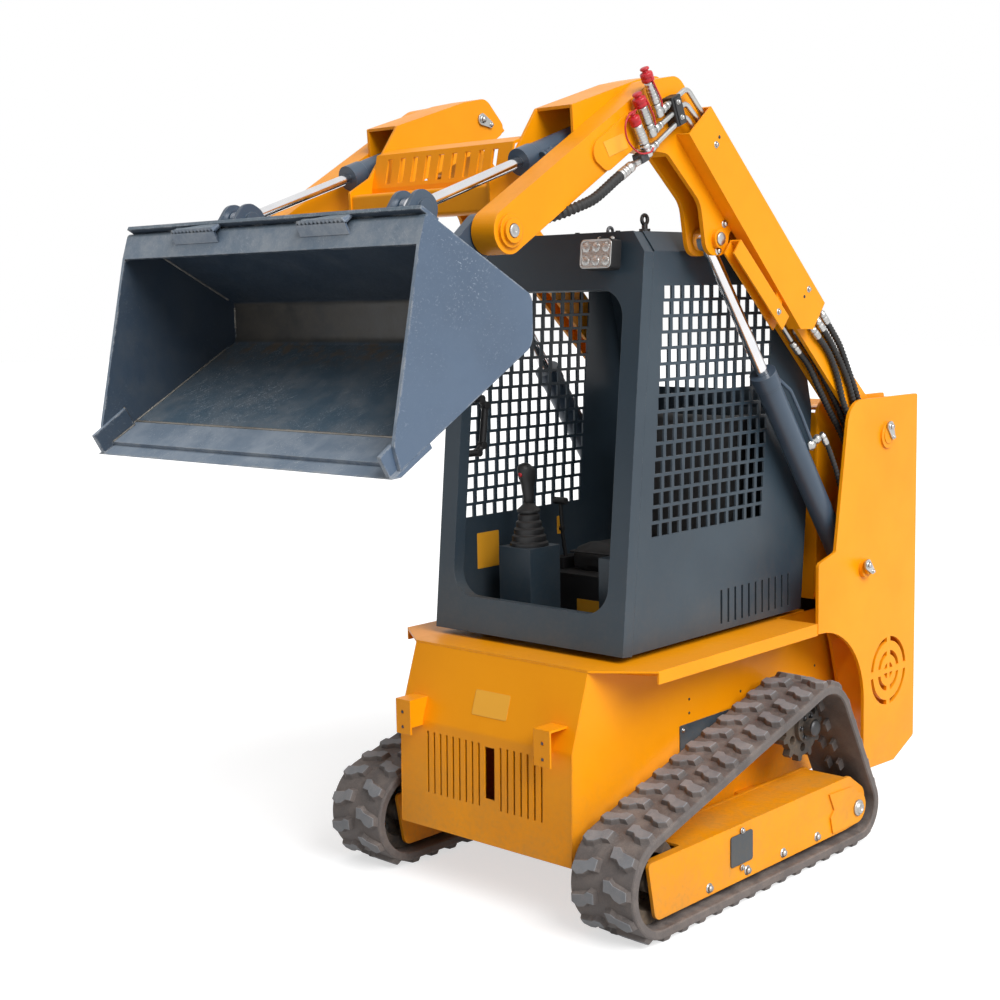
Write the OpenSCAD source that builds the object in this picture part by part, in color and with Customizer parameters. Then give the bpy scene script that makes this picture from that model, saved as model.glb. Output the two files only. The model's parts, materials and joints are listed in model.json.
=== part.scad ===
// Tracked skid steer loader, raised arms, millimetres.
// Machine frame: x across (+x is the operator's left), y towards the rear from the
// middle of the track's ground run, z up from the ground. datum_y moves the whole
// machine so that the origin lies under the middle of its box.

/* [Tracks] */
// Overall width over the rubber belts
track_overall_w = 1100; // [1000:5:1200]
// Width of one rubber belt
belt_w = 200; // [160:5:220]
// Thickness of the belt without its lugs
belt_t = 20; // [16:1:24]
// Height of the tread lugs
lug_h = 19; // [12:1:24]
// Pitch aimed at between tread lugs
lug_pitch = 76; // [65:1:90]
// Height of the inner guide lugs
guide_h = 22; // [14:1:26]
// Front idler: distance ahead of the middle of the ground run
front_idler_y = -458; // [-500:1:-420]
// Front idler: radius of the belt's outer face round it
front_idler_r = 131; // [120:1:140]
// Rear idler: distance behind the middle of the ground run
rear_idler_y = 502; // [460:1:540]
// Rear idler: radius of the belt's outer face round it
rear_idler_r = 91; // [85:1:100]
// Drive sprocket: distance behind the middle of the ground run
sprocket_y = 315; // [290:1:340]
// Drive sprocket: height of its axle
sprocket_z = 384; // [360:1:410]
// Drive sprocket: radius of the belt's outer face round it
sprocket_r = 123; // [116:1:130]
// Number of sprocket teeth
sprocket_teeth = 11; // [9:1:14]
// Number of bottom rollers on each side
roller_count = 4; // [3:1:5]
// First bottom roller behind the front idler
roller_first = 215; // [190:1:240]
// Pitch of the bottom rollers
roller_pitch = 176; // [150:1:180]
// Running clearance between wheels and belt
run_gap = 0.6; // [0.4:0.1:0.9]

/* [Track frames] */
// Width over the two side plates of a track frame
frame_w = 156; // [140:2:160]
// Thickness of the frame's side plates
frame_t = 10; // [8:1:14]
// Height of the frame's top edge
frame_top_z = 213; // [205:1:225]
// Height of the frame's lower edge
frame_low_z = 57; // [50:1:62]
// Radius of the frame's rear end
frame_end_r = 46; // [40:1:50]

/* [Body] */
// Width of the body tub
body_w = 624; // [580:2:640]
// Thickness of the tub's side plates
body_t = 6; // [5:1:10]
// Height of the tub's floor
body_low_z = 163; // [150:1:180]
// Front face of the body
body_front_y = -541; // [-560:1:-520]
// Height where the front panel bends back
panel_bend_z = 462; // [440:1:480]
// Rear edge of the sloping front panel's top
panel_top_y = -468; // [-490:1:-450]
// Thickness of the front panel
panel_t = 5; // [4:1:8]
// Rear end of the tub
body_rear_y = 938; // [920:1:945]
// Height of the deck's upper face
deck_z = 667; // [650:1:680]
// Thickness of the deck plate
deck_t = 6; // [4:1:8]
// Width over the fenders
deck_w = 916; // [880:2:920]
// Front tip of the fenders
fender_tip_y = -360; // [-380:1:-340]
// Depth of the fender's turned-down lip
fender_lip = 35; // [25:1:45]
// Length of the cooling slots in the front panel
slot_h = 172; // [140:1:180]
// Width of the cooling slots
slot_w = 7; // [5:0.5:9]
// Pitch of the cooling slots
slot_pitch = 24; // [20:1:26]

/* [Towers] */
// Outer face of the tower plates from the centre plane
tower_x = 460; // [455:1:465]
// Thickness of the tower plates
tower_t = 10; // [8:1:12]
// Inner face of the inner tower plates from the centre plane
tower_in_x = 335; // [332:1:337]
// Height of the tower's top edge
tower_top_z = 1301; // [1285:1:1320]
// Rear edge of the towers
tower_rear_y = 966; // [955:1:980]
// Radius of the round side grille
grille_r = 106; // [90:1:115]

/* [Cab] */
// Width over the cab's side panels
cab_w = 680; // [650:2:684]
// Thickness of the cab's sheets
cab_t = 6; // [4:1:8]
// Depth of the front frame
cab_front_t = 40; // [30:1:50]
// Underside of the cab
cab_low_z = 685; // [681:1:700]
// Height of the side panels' top edge
cab_side_z = 1729; // [1700:1:1750]
// Height of the roof
cab_roof_z = 1782; // [1765:1:1800]
// Front edge of the cab at its foot
cab_foot_y = -359; // [-370:1:-350]
// How far the front leans back up to the side panels' top
cab_lean = 105; // [80:1:125]
// Half width of the door opening
door_half_w = 280; // [250:1:290]
// Corner radius of the door opening
door_r = 75; // [50:1:100]
// Columns of square holes in a side window
grid_cols = 12; // [10:1:13]
// Rows of square holes in a side window
grid_rows = 16; // [12:1:17]
// Width of one hole
hole_w = 32; // [26:1:34]
// Height of one hole
hole_h = 33; // [26:1:34]
// Pitch of the columns
col_pitch = 44; // [40:0.5:46]
// Pitch of the rows
row_pitch = 41.5; // [39:0.5:43]
// Number of louvres low on each side panel
louvre_count = 11; // [8:1:12]

/* [Lift arms] */
// Arm pivot behind the middle of the ground run
pivot_y = 780; // [770:1:790]
// Height of the arm pivot
pivot_z = 1185; // [1175:1:1195]
// Radius of the arm's pivot pin
pivot_r = 25; // [20:1:28]
// Inner face of an arm from the centre plane
arm_in_x = 360; // [356:1:364]
// Width of an arm
arm_w = 70; // [66:1:76]
// Thickness of the arm's side plates
arm_t = 12; // [10:1:13]
// Half depth of the arm's front bar
bar_half = 52; // [46:1:56]
// Slope of the front bar in degrees
bar_slope = 30.6; // [29:0.1:32]
// Bucket pin ahead of the middle of the ground run
bucket_pin_y = -865; // [-875:1:-855]
// Height of the bucket pin
bucket_pin_z = 1765; // [1755:1:1775]
// Radius of the bucket pins
bucket_pin_r = 16; // [13:1:18]
// Lift rod's pin on the arm
lift_eye_y = -63; // [-70:1:-56]
// Height of the lift rod's pin
lift_eye_z = 1759; // [1753:1:1765]
// Inner face of the tilt hoods from the centre plane
hood_in_x = 240; // [236:1:244]
// Thickness of the hood plates
hood_t = 8; // [6:1:10]

/* [Cylinders] */
// Lift cylinder's foot pin behind the middle of the ground run
lift_foot_y = 650; // [644:1:656]
// Height of the lift cylinder's foot pin
lift_foot_z = 797; // [790:1:804]
// Radius of the lift barrels
lift_barrel_r = 35; // [32:1:36]
// Length of the lift barrels from their foot pin
lift_barrel_l = 747; // [730:1:755]
// Radius of the lift rods
lift_rod_r = 17.5; // [15:0.5:19]
// Tilt cylinder's foot pin ahead of the middle of the ground run
tilt_foot_y = -217; // [-222:1:-212]
// Height of the tilt cylinder's foot pin
tilt_foot_z = 2090; // [2085:1:2095]
// Tilt rod's pin on the bucket
tilt_eye_y = -1037; // [-1042:1:-1032]
// Height of the tilt rod's pin
tilt_eye_z = 1816; // [1811:1:1821]
// Radius of the tilt barrels
tilt_barrel_r = 30; // [26:1:33]
// Length of the tilt barrels from their foot pin
tilt_barrel_l = 494; // [480:1:505]
// Radius of the tilt rods
tilt_rod_r = 13.5; // [11:0.5:15]
// Clearance of rods and pins in their bores
pin_gap = 0.4; // [0.3:0.1:0.6]

/* [Bucket] */
// Width of the bucket
bucket_w = 1044; // [980:4:1060]
// Thickness of the bucket's plates
bucket_t = 9; // [7:1:12]
// Length of the bucket's floor
bucket_floor = 510; // [480:1:530]
// Slope of the bucket's floor as parked, in degrees
bucket_nose = 30.3; // [28:0.1:33]
// Height of the bucket's straight back
bucket_back = 109; // [95:1:125]
// Length of the bucket's sloping upper back
bucket_upper = 368; // [350:1:385]
// Height of the bucket's top lip
bucket_lip = 70; // [55:1:80]
// Thickness of the cutting edge
edge_t = 12; // [10:1:16]
// Depth of the cutting edge
edge_d = 130; // [100:1:150]

/* [Hidden] */
$fn = 48;

paint = "#f7a411";
slate = "#3a4653";
rubber = "#5b5048";
steel = "#c9ccd0";
dark = "#23262a";
scuffed = "#566270";
cap_red = "#c3202c";

eps = 0.01;
arc_step = 7.5;

// Bucket corners, worked out from its foot behind the hitch
heel = [bucket_pin_y - 31, bucket_pin_z - 254];
tip = heel - bucket_floor * [cos(bucket_nose), sin(bucket_nose)];
back_top = heel + [0, bucket_back];
upper_dir = [-0.880, 0.475];
bucket_top = back_top + bucket_upper * upper_dir;
lip_dir = [-0.30, -0.954];
lip_end = bucket_top + bucket_lip * lip_dir;

floor_dir = [cos(bucket_nose), sin(bucket_nose)];
floor_up = [-floor_dir[1], floor_dir[0]];
cutter_front = tip + 4 * floor_dir + 52 * floor_up;
datum_y = -(min(tip[0], cutter_front[0]) + tower_rear_y) / 2;

belt_mid = (track_overall_w - belt_w) / 2;
belt_in = belt_mid - belt_w / 2;
half_body = body_w / 2;
half_deck = deck_w / 2;
half_cab = cab_w / 2;
arm_mid = arm_in_x + arm_w / 2;
arm_out_x = arm_in_x + arm_w;
tilt_mid = (hood_in_x + hood_t + arm_in_x - hood_t) / 2;
front_idler_z = front_idler_r + lug_h;
rear_idler_z = rear_idler_r + lug_h;

// Sheet and outline helpers
function unit(v) = v / norm(v);
function xy(p) = [p[0], p[1]];
function turn(v) = [-v[1], v[0]];

// Arc that rounds corner b between a and c with radius r
function corner(a, b, c, r) =
    let (u = unit(a - b), v = unit(c - b),
         half = acos(max(-1, min(1, u * v))) / 2,
         reach = r / tan(half),
         mid = b + unit(u + v) * r / sin(half),
         p = b + u * reach - mid,
         q = b + v * reach - mid,
         start = atan2(p[1], p[0]),
         raw = atan2(q[1], q[0]) - start,
         sweep = raw > 180 ? raw - 360 : raw < -180 ? raw + 360 : raw,
         steps = max(1, ceil(abs(sweep) / arc_step)))
    [for (i = [0:steps]) mid + r * [cos(start + sweep * i / steps), sin(start + sweep * i / steps)]];

// Closed outline from [y, z, radius] corners
function outline(pts) =
    let (n = len(pts))
    [for (i = [0:n - 1])
        let (p = pts[i], a = xy(pts[(i + n - 1) % n]), c = xy(pts[(i + 1) % n]))
        each p[2] > 0 ? corner(a, xy(p), c, p[2]) : [xy(p)]];

// Open path from [y, z, radius] corners
function path(pts) =
    let (n = len(pts))
    [for (i = [0:n - 1])
        each (i > 0 && i < n - 1 && pts[i][2] > 0)
            ? corner(xy(pts[i - 1]), xy(pts[i]), xy(pts[i + 1]), pts[i][2]) : [xy(pts[i])]];

// The same path moved sideways by t, mitred at its corners
function beside(p, t) =
    let (n = len(p))
    [for (i = [0:n - 1])
        let (a = turn(unit(p[max(i, 1)] - p[max(i, 1) - 1])),
             b = turn(unit(p[min(i, n - 2) + 1] - p[min(i, n - 2)])))
        p[i] + t * (a + b) / (1 + a * b)];

// Polygon of a sheet of thickness t along a path
function sheet(p, t) =
    let (q = beside(p, t), n = len(p))
    [each p, for (i = [0:n - 1]) q[n - 1 - i]];

module machine() {
    translate([0, datum_y, 0])
        children();
}

module both() {
    children();
    mirror([1, 0, 0])
        children();
}

module side(s) {
    if (s > 0)
        children();
    else
        mirror([1, 0, 0])
            children();
}

// Extrudes a y-z profile across the machine from x0 to x1
module across(x0, x1) {
    translate([x0, 0, 0])
        rotate([90, 0, 90])
            linear_extrude(x1 - x0)
                children();
}

// Round bar across the machine
module bar(p, r, x0, x1) {
    translate([x0, p[0], p[1]])
        rotate([0, 90, 0])
            cylinder(r = r, h = x1 - x0);
}

// Box between two corners
module block(a, b) {
    translate(a)
        cube(b - a);
}

// Round tube through points of one y-z plane, with a round knuckle at each bend
module tube(pts, r) {
    for (i = [0:len(pts) - 2]) {
        d = pts[i + 1] - pts[i];
        translate(pts[i])
            rotate([0, acos(d[2] / norm(d)), atan2(d[1], d[0])])
                cylinder(r = r, h = norm(d));
        if (i > 0)
            bar([pts[i][1], pts[i][2]], r + 1, pts[i][0] - r - 1, pts[i][0] + r + 1);
    }
}

// Belt geometry: three wheels, front to rear along the ground, then up to the sprocket
wheels = [
    [front_idler_y, front_idler_z, front_idler_r],
    [rear_idler_y, rear_idler_z, rear_idler_r],
    [sprocket_y, sprocket_z, sprocket_r],
];
function next(i) = (i + 1) % len(wheels);
function prev(i) = (i + len(wheels) - 1) % len(wheels);
// Outward direction of the straight run from wheel i to the next, as an angle
function run_angle(i) =
    let (a = wheels[i], b = wheels[next(i)], d = xy(b) - xy(a))
    atan2(d[1], d[0]) - 90 + asin((a[2] - b[2]) / norm(d));
function wrap(a) = a < 0 ? a + 360 : a >= 360 ? a - 360 : a;
function wheel_sweep(i) = wrap(run_angle(i) - run_angle(prev(i)));
function on_wheel(i, a, off) = xy(wheels[i]) + (wheels[i][2] + off) * [cos(a), sin(a)];
function run_length(i) = norm(on_wheel(i, run_angle(i), 0) - on_wheel(next(i), run_angle(i), 0));
function arc_length(i) = wheels[i][2] * wheel_sweep(i) * PI / 180;
loop_length = run_length(0) + run_length(1) + run_length(2)
    + arc_length(0) + arc_length(1) + arc_length(2);
lug_count = round(loop_length / lug_pitch);

// Point and outward angle at a distance s along the belt's outer face, starting at wheel 0
function at(s, i = 0) =
    s <= arc_length(i)
        ? let (a = run_angle(prev(i)) + s / wheels[i][2] * 180 / PI) [on_wheel(i, a, 0), a]
        : s <= arc_length(i) + run_length(i)
            ? let (a = run_angle(i), k = (s - arc_length(i)) / run_length(i))
              [on_wheel(i, a, 0) * (1 - k) + on_wheel(next(i), a, 0) * k, a]
            : at(s - arc_length(i) - run_length(i), next(i));

function loop(off) =
    [for (i = [0:2])
        let (steps = ceil(wheel_sweep(i) / arc_step))
        for (k = [0:steps])
            on_wheel(i, run_angle(prev(i)) + wheel_sweep(i) * k / steps, off)];

// Seats a shape on the belt: its z points outwards, its y along the belt
module on_belt(s) {
    place = at(s);
    translate([belt_mid, place[0][0], place[0][1]])
        rotate([place[1] - 90, 0, 0])
            children();
}

// Tread lug: a bent bar from the belt's middle to its edge
lug_root = 4;
lug_reach = belt_w / 2 - 5;
lug_inner = 4;
lug_bar = 38;
module lug() {
    bend = (lug_reach + lug_inner) / 2;
    translate([0, 0, -lug_root])
        linear_extrude(lug_root + lug_h)
            polygon([
                [lug_inner, -lug_bar * 0.30], [bend, -lug_bar * 0.62], [lug_reach, -lug_bar * 0.36],
                [lug_reach, lug_bar * 0.58], [bend, lug_bar * 0.34], [lug_inner, lug_bar * 0.62],
            ]);
}

guide_in = 14;
guide_out = 24;
guide_l = 30;
module belt(s) {
    color(rubber)
        machine()
            side(s) {
                difference() {
                    across(belt_in, belt_in + belt_w)
                        polygon(loop(0));
                    across(belt_in - 1, belt_in + belt_w + 1)
                        polygon(loop(-belt_t));
                }
                for (k = [0:lug_count - 1]) {
                    on_belt(k * loop_length / lug_count)
                        lug();
                    on_belt((k + 0.5) * loop_length / lug_count)
                        mirror([1, 0, 0])
                            lug();
                    on_belt((k + 0.25) * loop_length / lug_count)
                        both()
                            block([guide_in, -guide_l / 2, -belt_t - guide_h],
                                  [guide_out, guide_l / 2, 2 - belt_t]);
                }
            }
}

// Wheels inside the belt: idlers, bottom rollers and the drive sprocket with its motor
rim_in = 28;
rim_out = 48;
axle_r = 14;
tooth_h = 16;
plate_half = 11;
motor_r = 66;
web_t = 12;
wheel_rim = guide_h + 14;
hub_r = 45;
frame_in = belt_mid - frame_w / 2;
frame_out = belt_mid + frame_w / 2;
floor_z = lug_h + belt_t;
roller_z = 77;
roller_r = roller_z - floor_z - run_gap;

module idler(c, r) {
    both_rims(c, r);
    difference() {
        bar(c, r - wheel_rim + eps, belt_mid - web_t / 2, belt_mid + web_t / 2);
        for (a = [0:60:300])
            bar(c + (r * 0.52) * [cos(a), sin(a)], r * 0.14, belt_mid - web_t, belt_mid + web_t);
    }
    bar(c, hub_r * 0.62, belt_mid - rim_out, belt_mid + rim_out);
    bar(c, axle_r, frame_in + frame_t, frame_out - frame_t);
}

module both_rims(c, r) {
    translate([belt_mid, c[0], c[1]])
        rotate([0, 90, 0])
            both_ends()
                difference() {
                    translate([0, 0, web_t / 2])
                        cylinder(r = r, h = rim_out - web_t / 2);
                    translate([0, 0, web_t / 2 - 1])
                        cylinder(r = r - wheel_rim, h = rim_out);
                    translate([0, 0, web_t / 2 - 1])
                        difference() {
                            cylinder(r = r + 1, h = rim_in - web_t / 2 + 1);
                            cylinder(r = r - guide_h - 2, h = rim_in);
                        }
                }
}

module both_ends() {
    children();
    mirror([0, 0, 1])
        children();
}

module roller(c) {
    bar(c, roller_r, belt_mid - rim_out, belt_mid - rim_in);
    bar(c, roller_r, belt_mid + rim_in, belt_mid + rim_out);
    bar(c, axle_r, frame_in + frame_t, frame_out - frame_t);
}

module sprocket() {
    c = [sprocket_y, sprocket_z];
    tip_r = sprocket_r - belt_t - run_gap;
    root_r = tip_r - tooth_h;
    across(belt_mid - plate_half, belt_mid + plate_half)
        difference() {
            translate(c) {
                circle(r = root_r);
                for (k = [0:sprocket_teeth - 1])
                    rotate(k * 360 / sprocket_teeth)
                        polygon([[root_r - 6, -13], [tip_r, -6], [tip_r, 6], [root_r - 6, 13]]);
            }
            translate(c)
                for (a = [30:60:330])
                    rotate(a)
                        translate([hub_r + 18, 0])
                            circle(r = 13);
        }
    bar(c, hub_r, belt_mid - plate_half - 14, belt_mid + plate_half + 14);
    bar(c, hub_r * 0.55, belt_mid, belt_mid + 52);
    bar(c, motor_r, half_body, belt_mid - plate_half - 14 + eps);
}

module track_wheels(s) {
    color(dark)
        machine()
            side(s) {
                idler([front_idler_y, front_idler_z], front_idler_r - belt_t - run_gap);
                idler([rear_idler_y, rear_idler_z], rear_idler_r - belt_t - run_gap);
                for (k = [0:roller_count - 1])
                    roller([front_idler_y + roller_first + k * roller_pitch, roller_z]);
                sprocket();
            }
}

// Track frame: two side plates, a top plate behind the front idler and two cross beams
module track_frame(s) {
    nose = front_idler_y - 45;
    heel_y = rear_idler_y + frame_end_r;
    slope_y = rear_idler_y - 40;
    side_plate = outline([
        [nose, frame_top_z, 12], [nose + 30, frame_low_z, 25],
        [rear_idler_y - 60, frame_low_z, 20],
        [heel_y, rear_idler_z - frame_end_r, frame_end_r - 2],
        [heel_y, rear_idler_z + frame_end_r, frame_end_r - 2],
        [slope_y, frame_top_z, 14],
    ]);
    top_from = front_idler_y + front_idler_r - belt_t + 14;
    flange_in = belt_mid + rim_out + 2;
    color(paint)
        machine()
            side(s) {
                across(frame_in, frame_in + frame_t)
                    polygon(side_plate);
                across(frame_out - frame_t, frame_out)
                    polygon(side_plate);
                block([frame_in + frame_t - eps, top_from, frame_top_z - 8],
                      [frame_out - frame_t + eps, slope_y - 12, frame_top_z - 1]);
                block([flange_in, nose + 20, frame_top_z - 8],
                      [frame_out - frame_t + eps, top_from + eps, frame_top_z - 1]);
                for (y = [-200, 190])
                    block([half_body, y, 100], [frame_in + eps, y + 90, 188]);
            }
}

// Body tub
front_path = path([
    [body_front_y, body_low_z], [body_front_y + 6, panel_bend_z, 45], [panel_top_y, deck_z - deck_t],
]);
inner_front = beside(front_path, -panel_t);

module chassis() {
    side_plate = [
        each inner_front,
        [body_rear_y, deck_z - deck_t], [body_rear_y, body_low_z],
    ];
    floor_y = inner_front[0][0] + 1;
    color(paint)
        machine() {
            both()
                across(half_body - body_t, half_body)
                    polygon(side_plate);
            block([-half_body + body_t - eps, floor_y, body_low_z],
                  [half_body - body_t + eps, body_rear_y, body_low_z + body_t]);
            block([-half_body + body_t - eps, body_rear_y - body_t, body_low_z],
                  [half_body - body_t + eps, body_rear_y, body_low_z + 90]);
            block([-half_body + body_t - eps, -60, body_low_z],
                  [half_body - body_t + eps, -60 + body_t, deck_z - deck_t]);
        }
}

slot_low_z = 264;
module front_panel() {
    color(paint)
        machine()
            difference() {
                across(-half_body, half_body)
                    polygon(sheet(front_path, -panel_t));
                for (k = [0:8])
                    block([-209 + k * slot_pitch, body_front_y - 20, slot_low_z],
                          [-209 + slot_w + k * slot_pitch, body_front_y + 40, slot_low_z + slot_h]);
                for (k = [0:6])
                    block([62 + k * slot_pitch, body_front_y - 20, slot_low_z],
                          [62 + slot_w + k * slot_pitch, body_front_y + 40, slot_low_z + slot_h]);
                block([8, body_front_y - 20, slot_low_z + 24],
                      [44, body_front_y + 40, slot_low_z + slot_h - 6]);
            }
}

// Folded brackets that the lowered arms come down in front of
rest_w = 55;
rest_x = 225;
rest_d = 42;
rest_low_z = 430;
rest_high_z = 527;
rest_t = 6;
module arm_rests() {
    front = body_front_y - rest_d;
    color(paint)
        machine()
            both()
                difference() {
                    translate([rest_x, 0, 0])
                        union() {
                            block([0, front, rest_low_z], [rest_w, front + rest_t, rest_high_z]);
                            block([0, front, rest_high_z - rest_t], [rest_w, body_front_y + 60, rest_high_z]);
                            block([0, front, rest_low_z + 20],
                                  [rest_t, body_front_y + 60, rest_high_z]);
                        }
                    across(rest_x - 1, rest_x + rest_w + 1)
                        polygon([each front_path, [0, deck_z], [0, body_low_z]]);
                    for (z = [rest_low_z + 20, rest_low_z + 62])
                        translate([rest_x + rest_w * 0.55, front - 1, z])
                            rotate([-90, 0, 0])
                                cylinder(r = 5.5, h = rest_t + 2);
                }
}

// Deck with its fenders
engine_front_y = 600;
engine_l = 290;
module deck() {
    tower_front_y = 398;
    deck_rear_y = engine_front_y - 42;
    gusset_y = [fender_tip_y + 20, 0];
    color(paint)
        machine() {
            translate([0, 0, deck_z - deck_t])
                linear_extrude(deck_t)
                    polygon([
                        [-half_body, panel_top_y], [half_body, panel_top_y],
                        [half_deck, fender_tip_y], [half_deck, tower_front_y],
                        [half_body, tower_front_y], [half_body, deck_rear_y],
                        [-half_body, deck_rear_y], [-half_body, tower_front_y],
                        [-half_deck, tower_front_y], [-half_deck, fender_tip_y],
                    ]);
            both() {
                block([half_deck - deck_t, fender_tip_y, deck_z - fender_lip],
                      [half_deck, tower_front_y, deck_z - deck_t + eps]);
                for (y = gusset_y)
                    translate([half_body, y + deck_t, deck_z - deck_t])
                        rotate([90, 0, 0])
                            linear_extrude(deck_t)
                                polygon([[0, eps], [half_deck - half_body - deck_t + eps, eps],
                                         [half_deck - half_body - deck_t + eps, -12], [0, -26]]);
            }
        }
}

// Round grille of concentric slots in four quadrants
module grille_slots() {
    slot = 0.134 * grille_r;
    for (ring = [[1, 0.2], [0.595, 0.2], [0.24, 0.13]])
        difference() {
            circle(r = ring[0] * grille_r);
            circle(r = ring[0] * grille_r - slot);
            square([ring[1] * grille_r, 3 * grille_r], center = true);
            square([3 * grille_r, ring[1] * grille_r], center = true);
        }
}

tower_front_low = 636;
tower_arch_r = 248;
module tower(s) {
    outer = outline([
        [tower_rear_y, tower_top_z, 8], [564, tower_top_z, 80], [491, 864, 10],
        [398, 841, 15], [398, tower_front_low, 0], [659, tower_front_low, tower_arch_r],
        [659, 172, 14], [843, 165, 10], [tower_rear_y, 219, 10],
    ]);
    inner = outline([
        [tower_rear_y, tower_top_z, 8], [572, tower_top_z, 60], [572, 720, 20],
        [660, 560, 20], [760, 232, 20], [tower_rear_y, 232, 10],
    ]);
    out_in = tower_x - tower_t;
    in_out = tower_in_x + tower_t;
    color(paint)
        machine()
            side(s) {
                difference() {
                    across(out_in, tower_x)
                        polygon(outer);
                    across(out_in - 1, tower_x + 1)
                        translate([805, 456])
                            grille_slots();
                }
                across(tower_in_x, in_out)
                    polygon(inner);
                block([in_out - eps, tower_rear_y - tower_t, 260],
                      [out_in + eps, tower_rear_y, tower_top_z - 12]);
                block([in_out - eps, 690, 560], [out_in + eps, tower_rear_y - tower_t + eps, 570]);
                for (z = [300, 600])
                    block([half_body, 680, z], [tower_in_x + eps, body_rear_y, z + tower_t]);
                bar([pivot_y, pivot_z], pivot_r, tower_in_x, tower_x + 8);
                bar([pivot_y, pivot_z], pivot_r + 14, tower_x - eps, tower_x + 6);
                bar([lift_foot_y, lift_foot_z], 18, tower_in_x, tower_x + 22);
                bar([lift_foot_y, lift_foot_z], 28, tower_x - eps, tower_x + 12);
                if (s < 0)
                    door_hinge_lugs();
            }
}

// Rear door hinges: lugs and pins on the right tower, knuckles on the door
hinge_x = tower_in_x - 9;
hinge_y = tower_rear_y - 6;
hinge_pin_r = 3;
knuckle_r = 6;
knuckle_l = 60;
hinge_zs = [360, 1000];
module door_hinge_lugs() {
    for (z = hinge_zs) {
        block([hinge_x - knuckle_r, hinge_y - knuckle_r, z - 10],
              [tower_in_x + eps, hinge_y + knuckle_r, z]);
        translate([hinge_x, hinge_y, z - eps])
            cylinder(r = hinge_pin_r, h = knuckle_l - 6);
    }
}

door_low_z = 262;
door_high_z = 1222;
door_t = 12;
door_edge = 12;
module rear_door() {
    x0 = -hinge_x + door_edge;
    x1 = tower_in_x - 8;
    out_y = hinge_y + 4;
    color(paint)
        machine() {
            difference() {
                block([x0, out_y - door_t, door_low_z], [x1, out_y, door_high_z]);
                block([x0 + 10, out_y - door_t - 1, door_low_z + 10],
                      [x1 - 10, out_y - 5, door_high_z - 10]);
                for (k = [0:11])
                    for (x = [-210, 20])
                        block([x, out_y - door_t - 1, 520 + k * 48], [x + 190, out_y + 1, 534 + k * 48]);
                block([x1 - 90, out_y - door_t - 1, 420], [x1 - 60, out_y + 1, 470]);
            }
            for (z = hinge_zs)
                difference() {
                    union() {
                        translate([-hinge_x, hinge_y, z + pin_gap])
                            cylinder(r = knuckle_r, h = knuckle_l);
                        block([-hinge_x, hinge_y - 3, z + pin_gap],
                              [x0 + 1, hinge_y + 3, z + pin_gap + knuckle_l]);
                    }
                    translate([-hinge_x, hinge_y, z - 1])
                        cylinder(r = hinge_pin_r + pin_gap, h = knuckle_l + 3);
                }
        }
}

// Plate between the towers behind the cab, with the pins of the engine hood's hinge
lid_y = 586;
lid_z = 1282;
lid_pin_r = 5;
lid_knuckle_r = 9;
lid_xs = [-220, 140];
lid_knuckle_l = 80;
module firewall() {
    color(paint)
        machine() {
            block([-tower_in_x, 573, 700], [tower_in_x, 579, 1262]);
            block([-tower_in_x, 573, 1240], [tower_in_x, 592, 1246]);
            for (x = lid_xs) {
                for (e = [x - 12 - pin_gap, x + lid_knuckle_l + pin_gap])
                    block([e, 573, 1240], [e + 12, lid_y + 6, lid_z + 6]);
                bar([lid_y, lid_z], lid_pin_r, x - 6, x + lid_knuckle_l + 6);
            }
        }
}

module engine_hood() {
    x1 = tower_in_x - 8;
    y0 = lid_y + 14;
    y1 = tower_rear_y - 24;
    top = 1276;
    t = 5;
    color(paint)
        machine() {
            difference() {
                block([-x1, y0, top - 36], [x1, y1, top]);
                block([-x1 + t, y0 - 1, top - 37], [x1 - t, y1 - t, top - t]);
                for (k = [0:7])
                    for (x = [-250, 60])
                        block([x, y0 + 60 + k * 34, top - t - 1], [x + 190, y0 + 74 + k * 34, top + 1]);
            }
            for (x = lid_xs)
                difference() {
                    union() {
                        bar([lid_y, lid_z], lid_knuckle_r, x, x + lid_knuckle_l);
                        block([x, lid_y, top - t], [x + lid_knuckle_l, y0 + 8, top]);
                    }
                    bar([lid_y, lid_z], lid_pin_r + pin_gap, x - 1, x + lid_knuckle_l + 1);
                }
        }
}

// Engine and its pumps as one plain mass on four feet
module engine() {
    foot_z = body_low_z + body_t;
    color(dark)
        machine() {
            block([-235, engine_front_y, foot_z + 50], [235, engine_front_y + engine_l, 940]);
            for (x = [-200, 140], y = [engine_front_y + 30, engine_front_y + engine_l - 90])
                block([x, y, foot_z], [x + 60, y + 60, foot_z + 50 + eps]);
        }
}

// Cab
lean_angle = atan(cab_lean / (cab_side_z - cab_low_z));
cab_back_y = cab_foot_y + cab_front_t / cos(lean_angle);
function cab_front_at(z) = cab_back_y + (z - cab_low_z) * tan(lean_angle);
cab_rear = [[494, cab_low_z], [549, 1275], [428, cab_side_z]];
roof_half = half_cab - 40;

module on_cab_front() {
    translate([0, cab_foot_y, cab_low_z])
        rotate([90 - lean_angle, 0, 0])
            children();
}

module cab_front() {
    top = (cab_roof_z - cab_low_z) / cos(lean_angle);
    eave = (cab_side_z - cab_low_z) / cos(lean_angle);
    door_low = 100;
    door_high = 952;
    color(slate)
        machine()
            on_cab_front()
                translate([0, 0, -cab_front_t])
                    linear_extrude(cab_front_t)
                        difference() {
                            polygon([[-half_cab, 0], [half_cab, 0], [half_cab, eave],
                                     [roof_half, top], [-roof_half, top], [-half_cab, eave]]);
                            polygon(outline([
                                [-door_half_w, door_low, door_r], [door_half_w, door_low, door_r],
                                [door_half_w, door_high, door_r], [-door_half_w, door_high, door_r],
                            ]));
                        }
}

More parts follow.
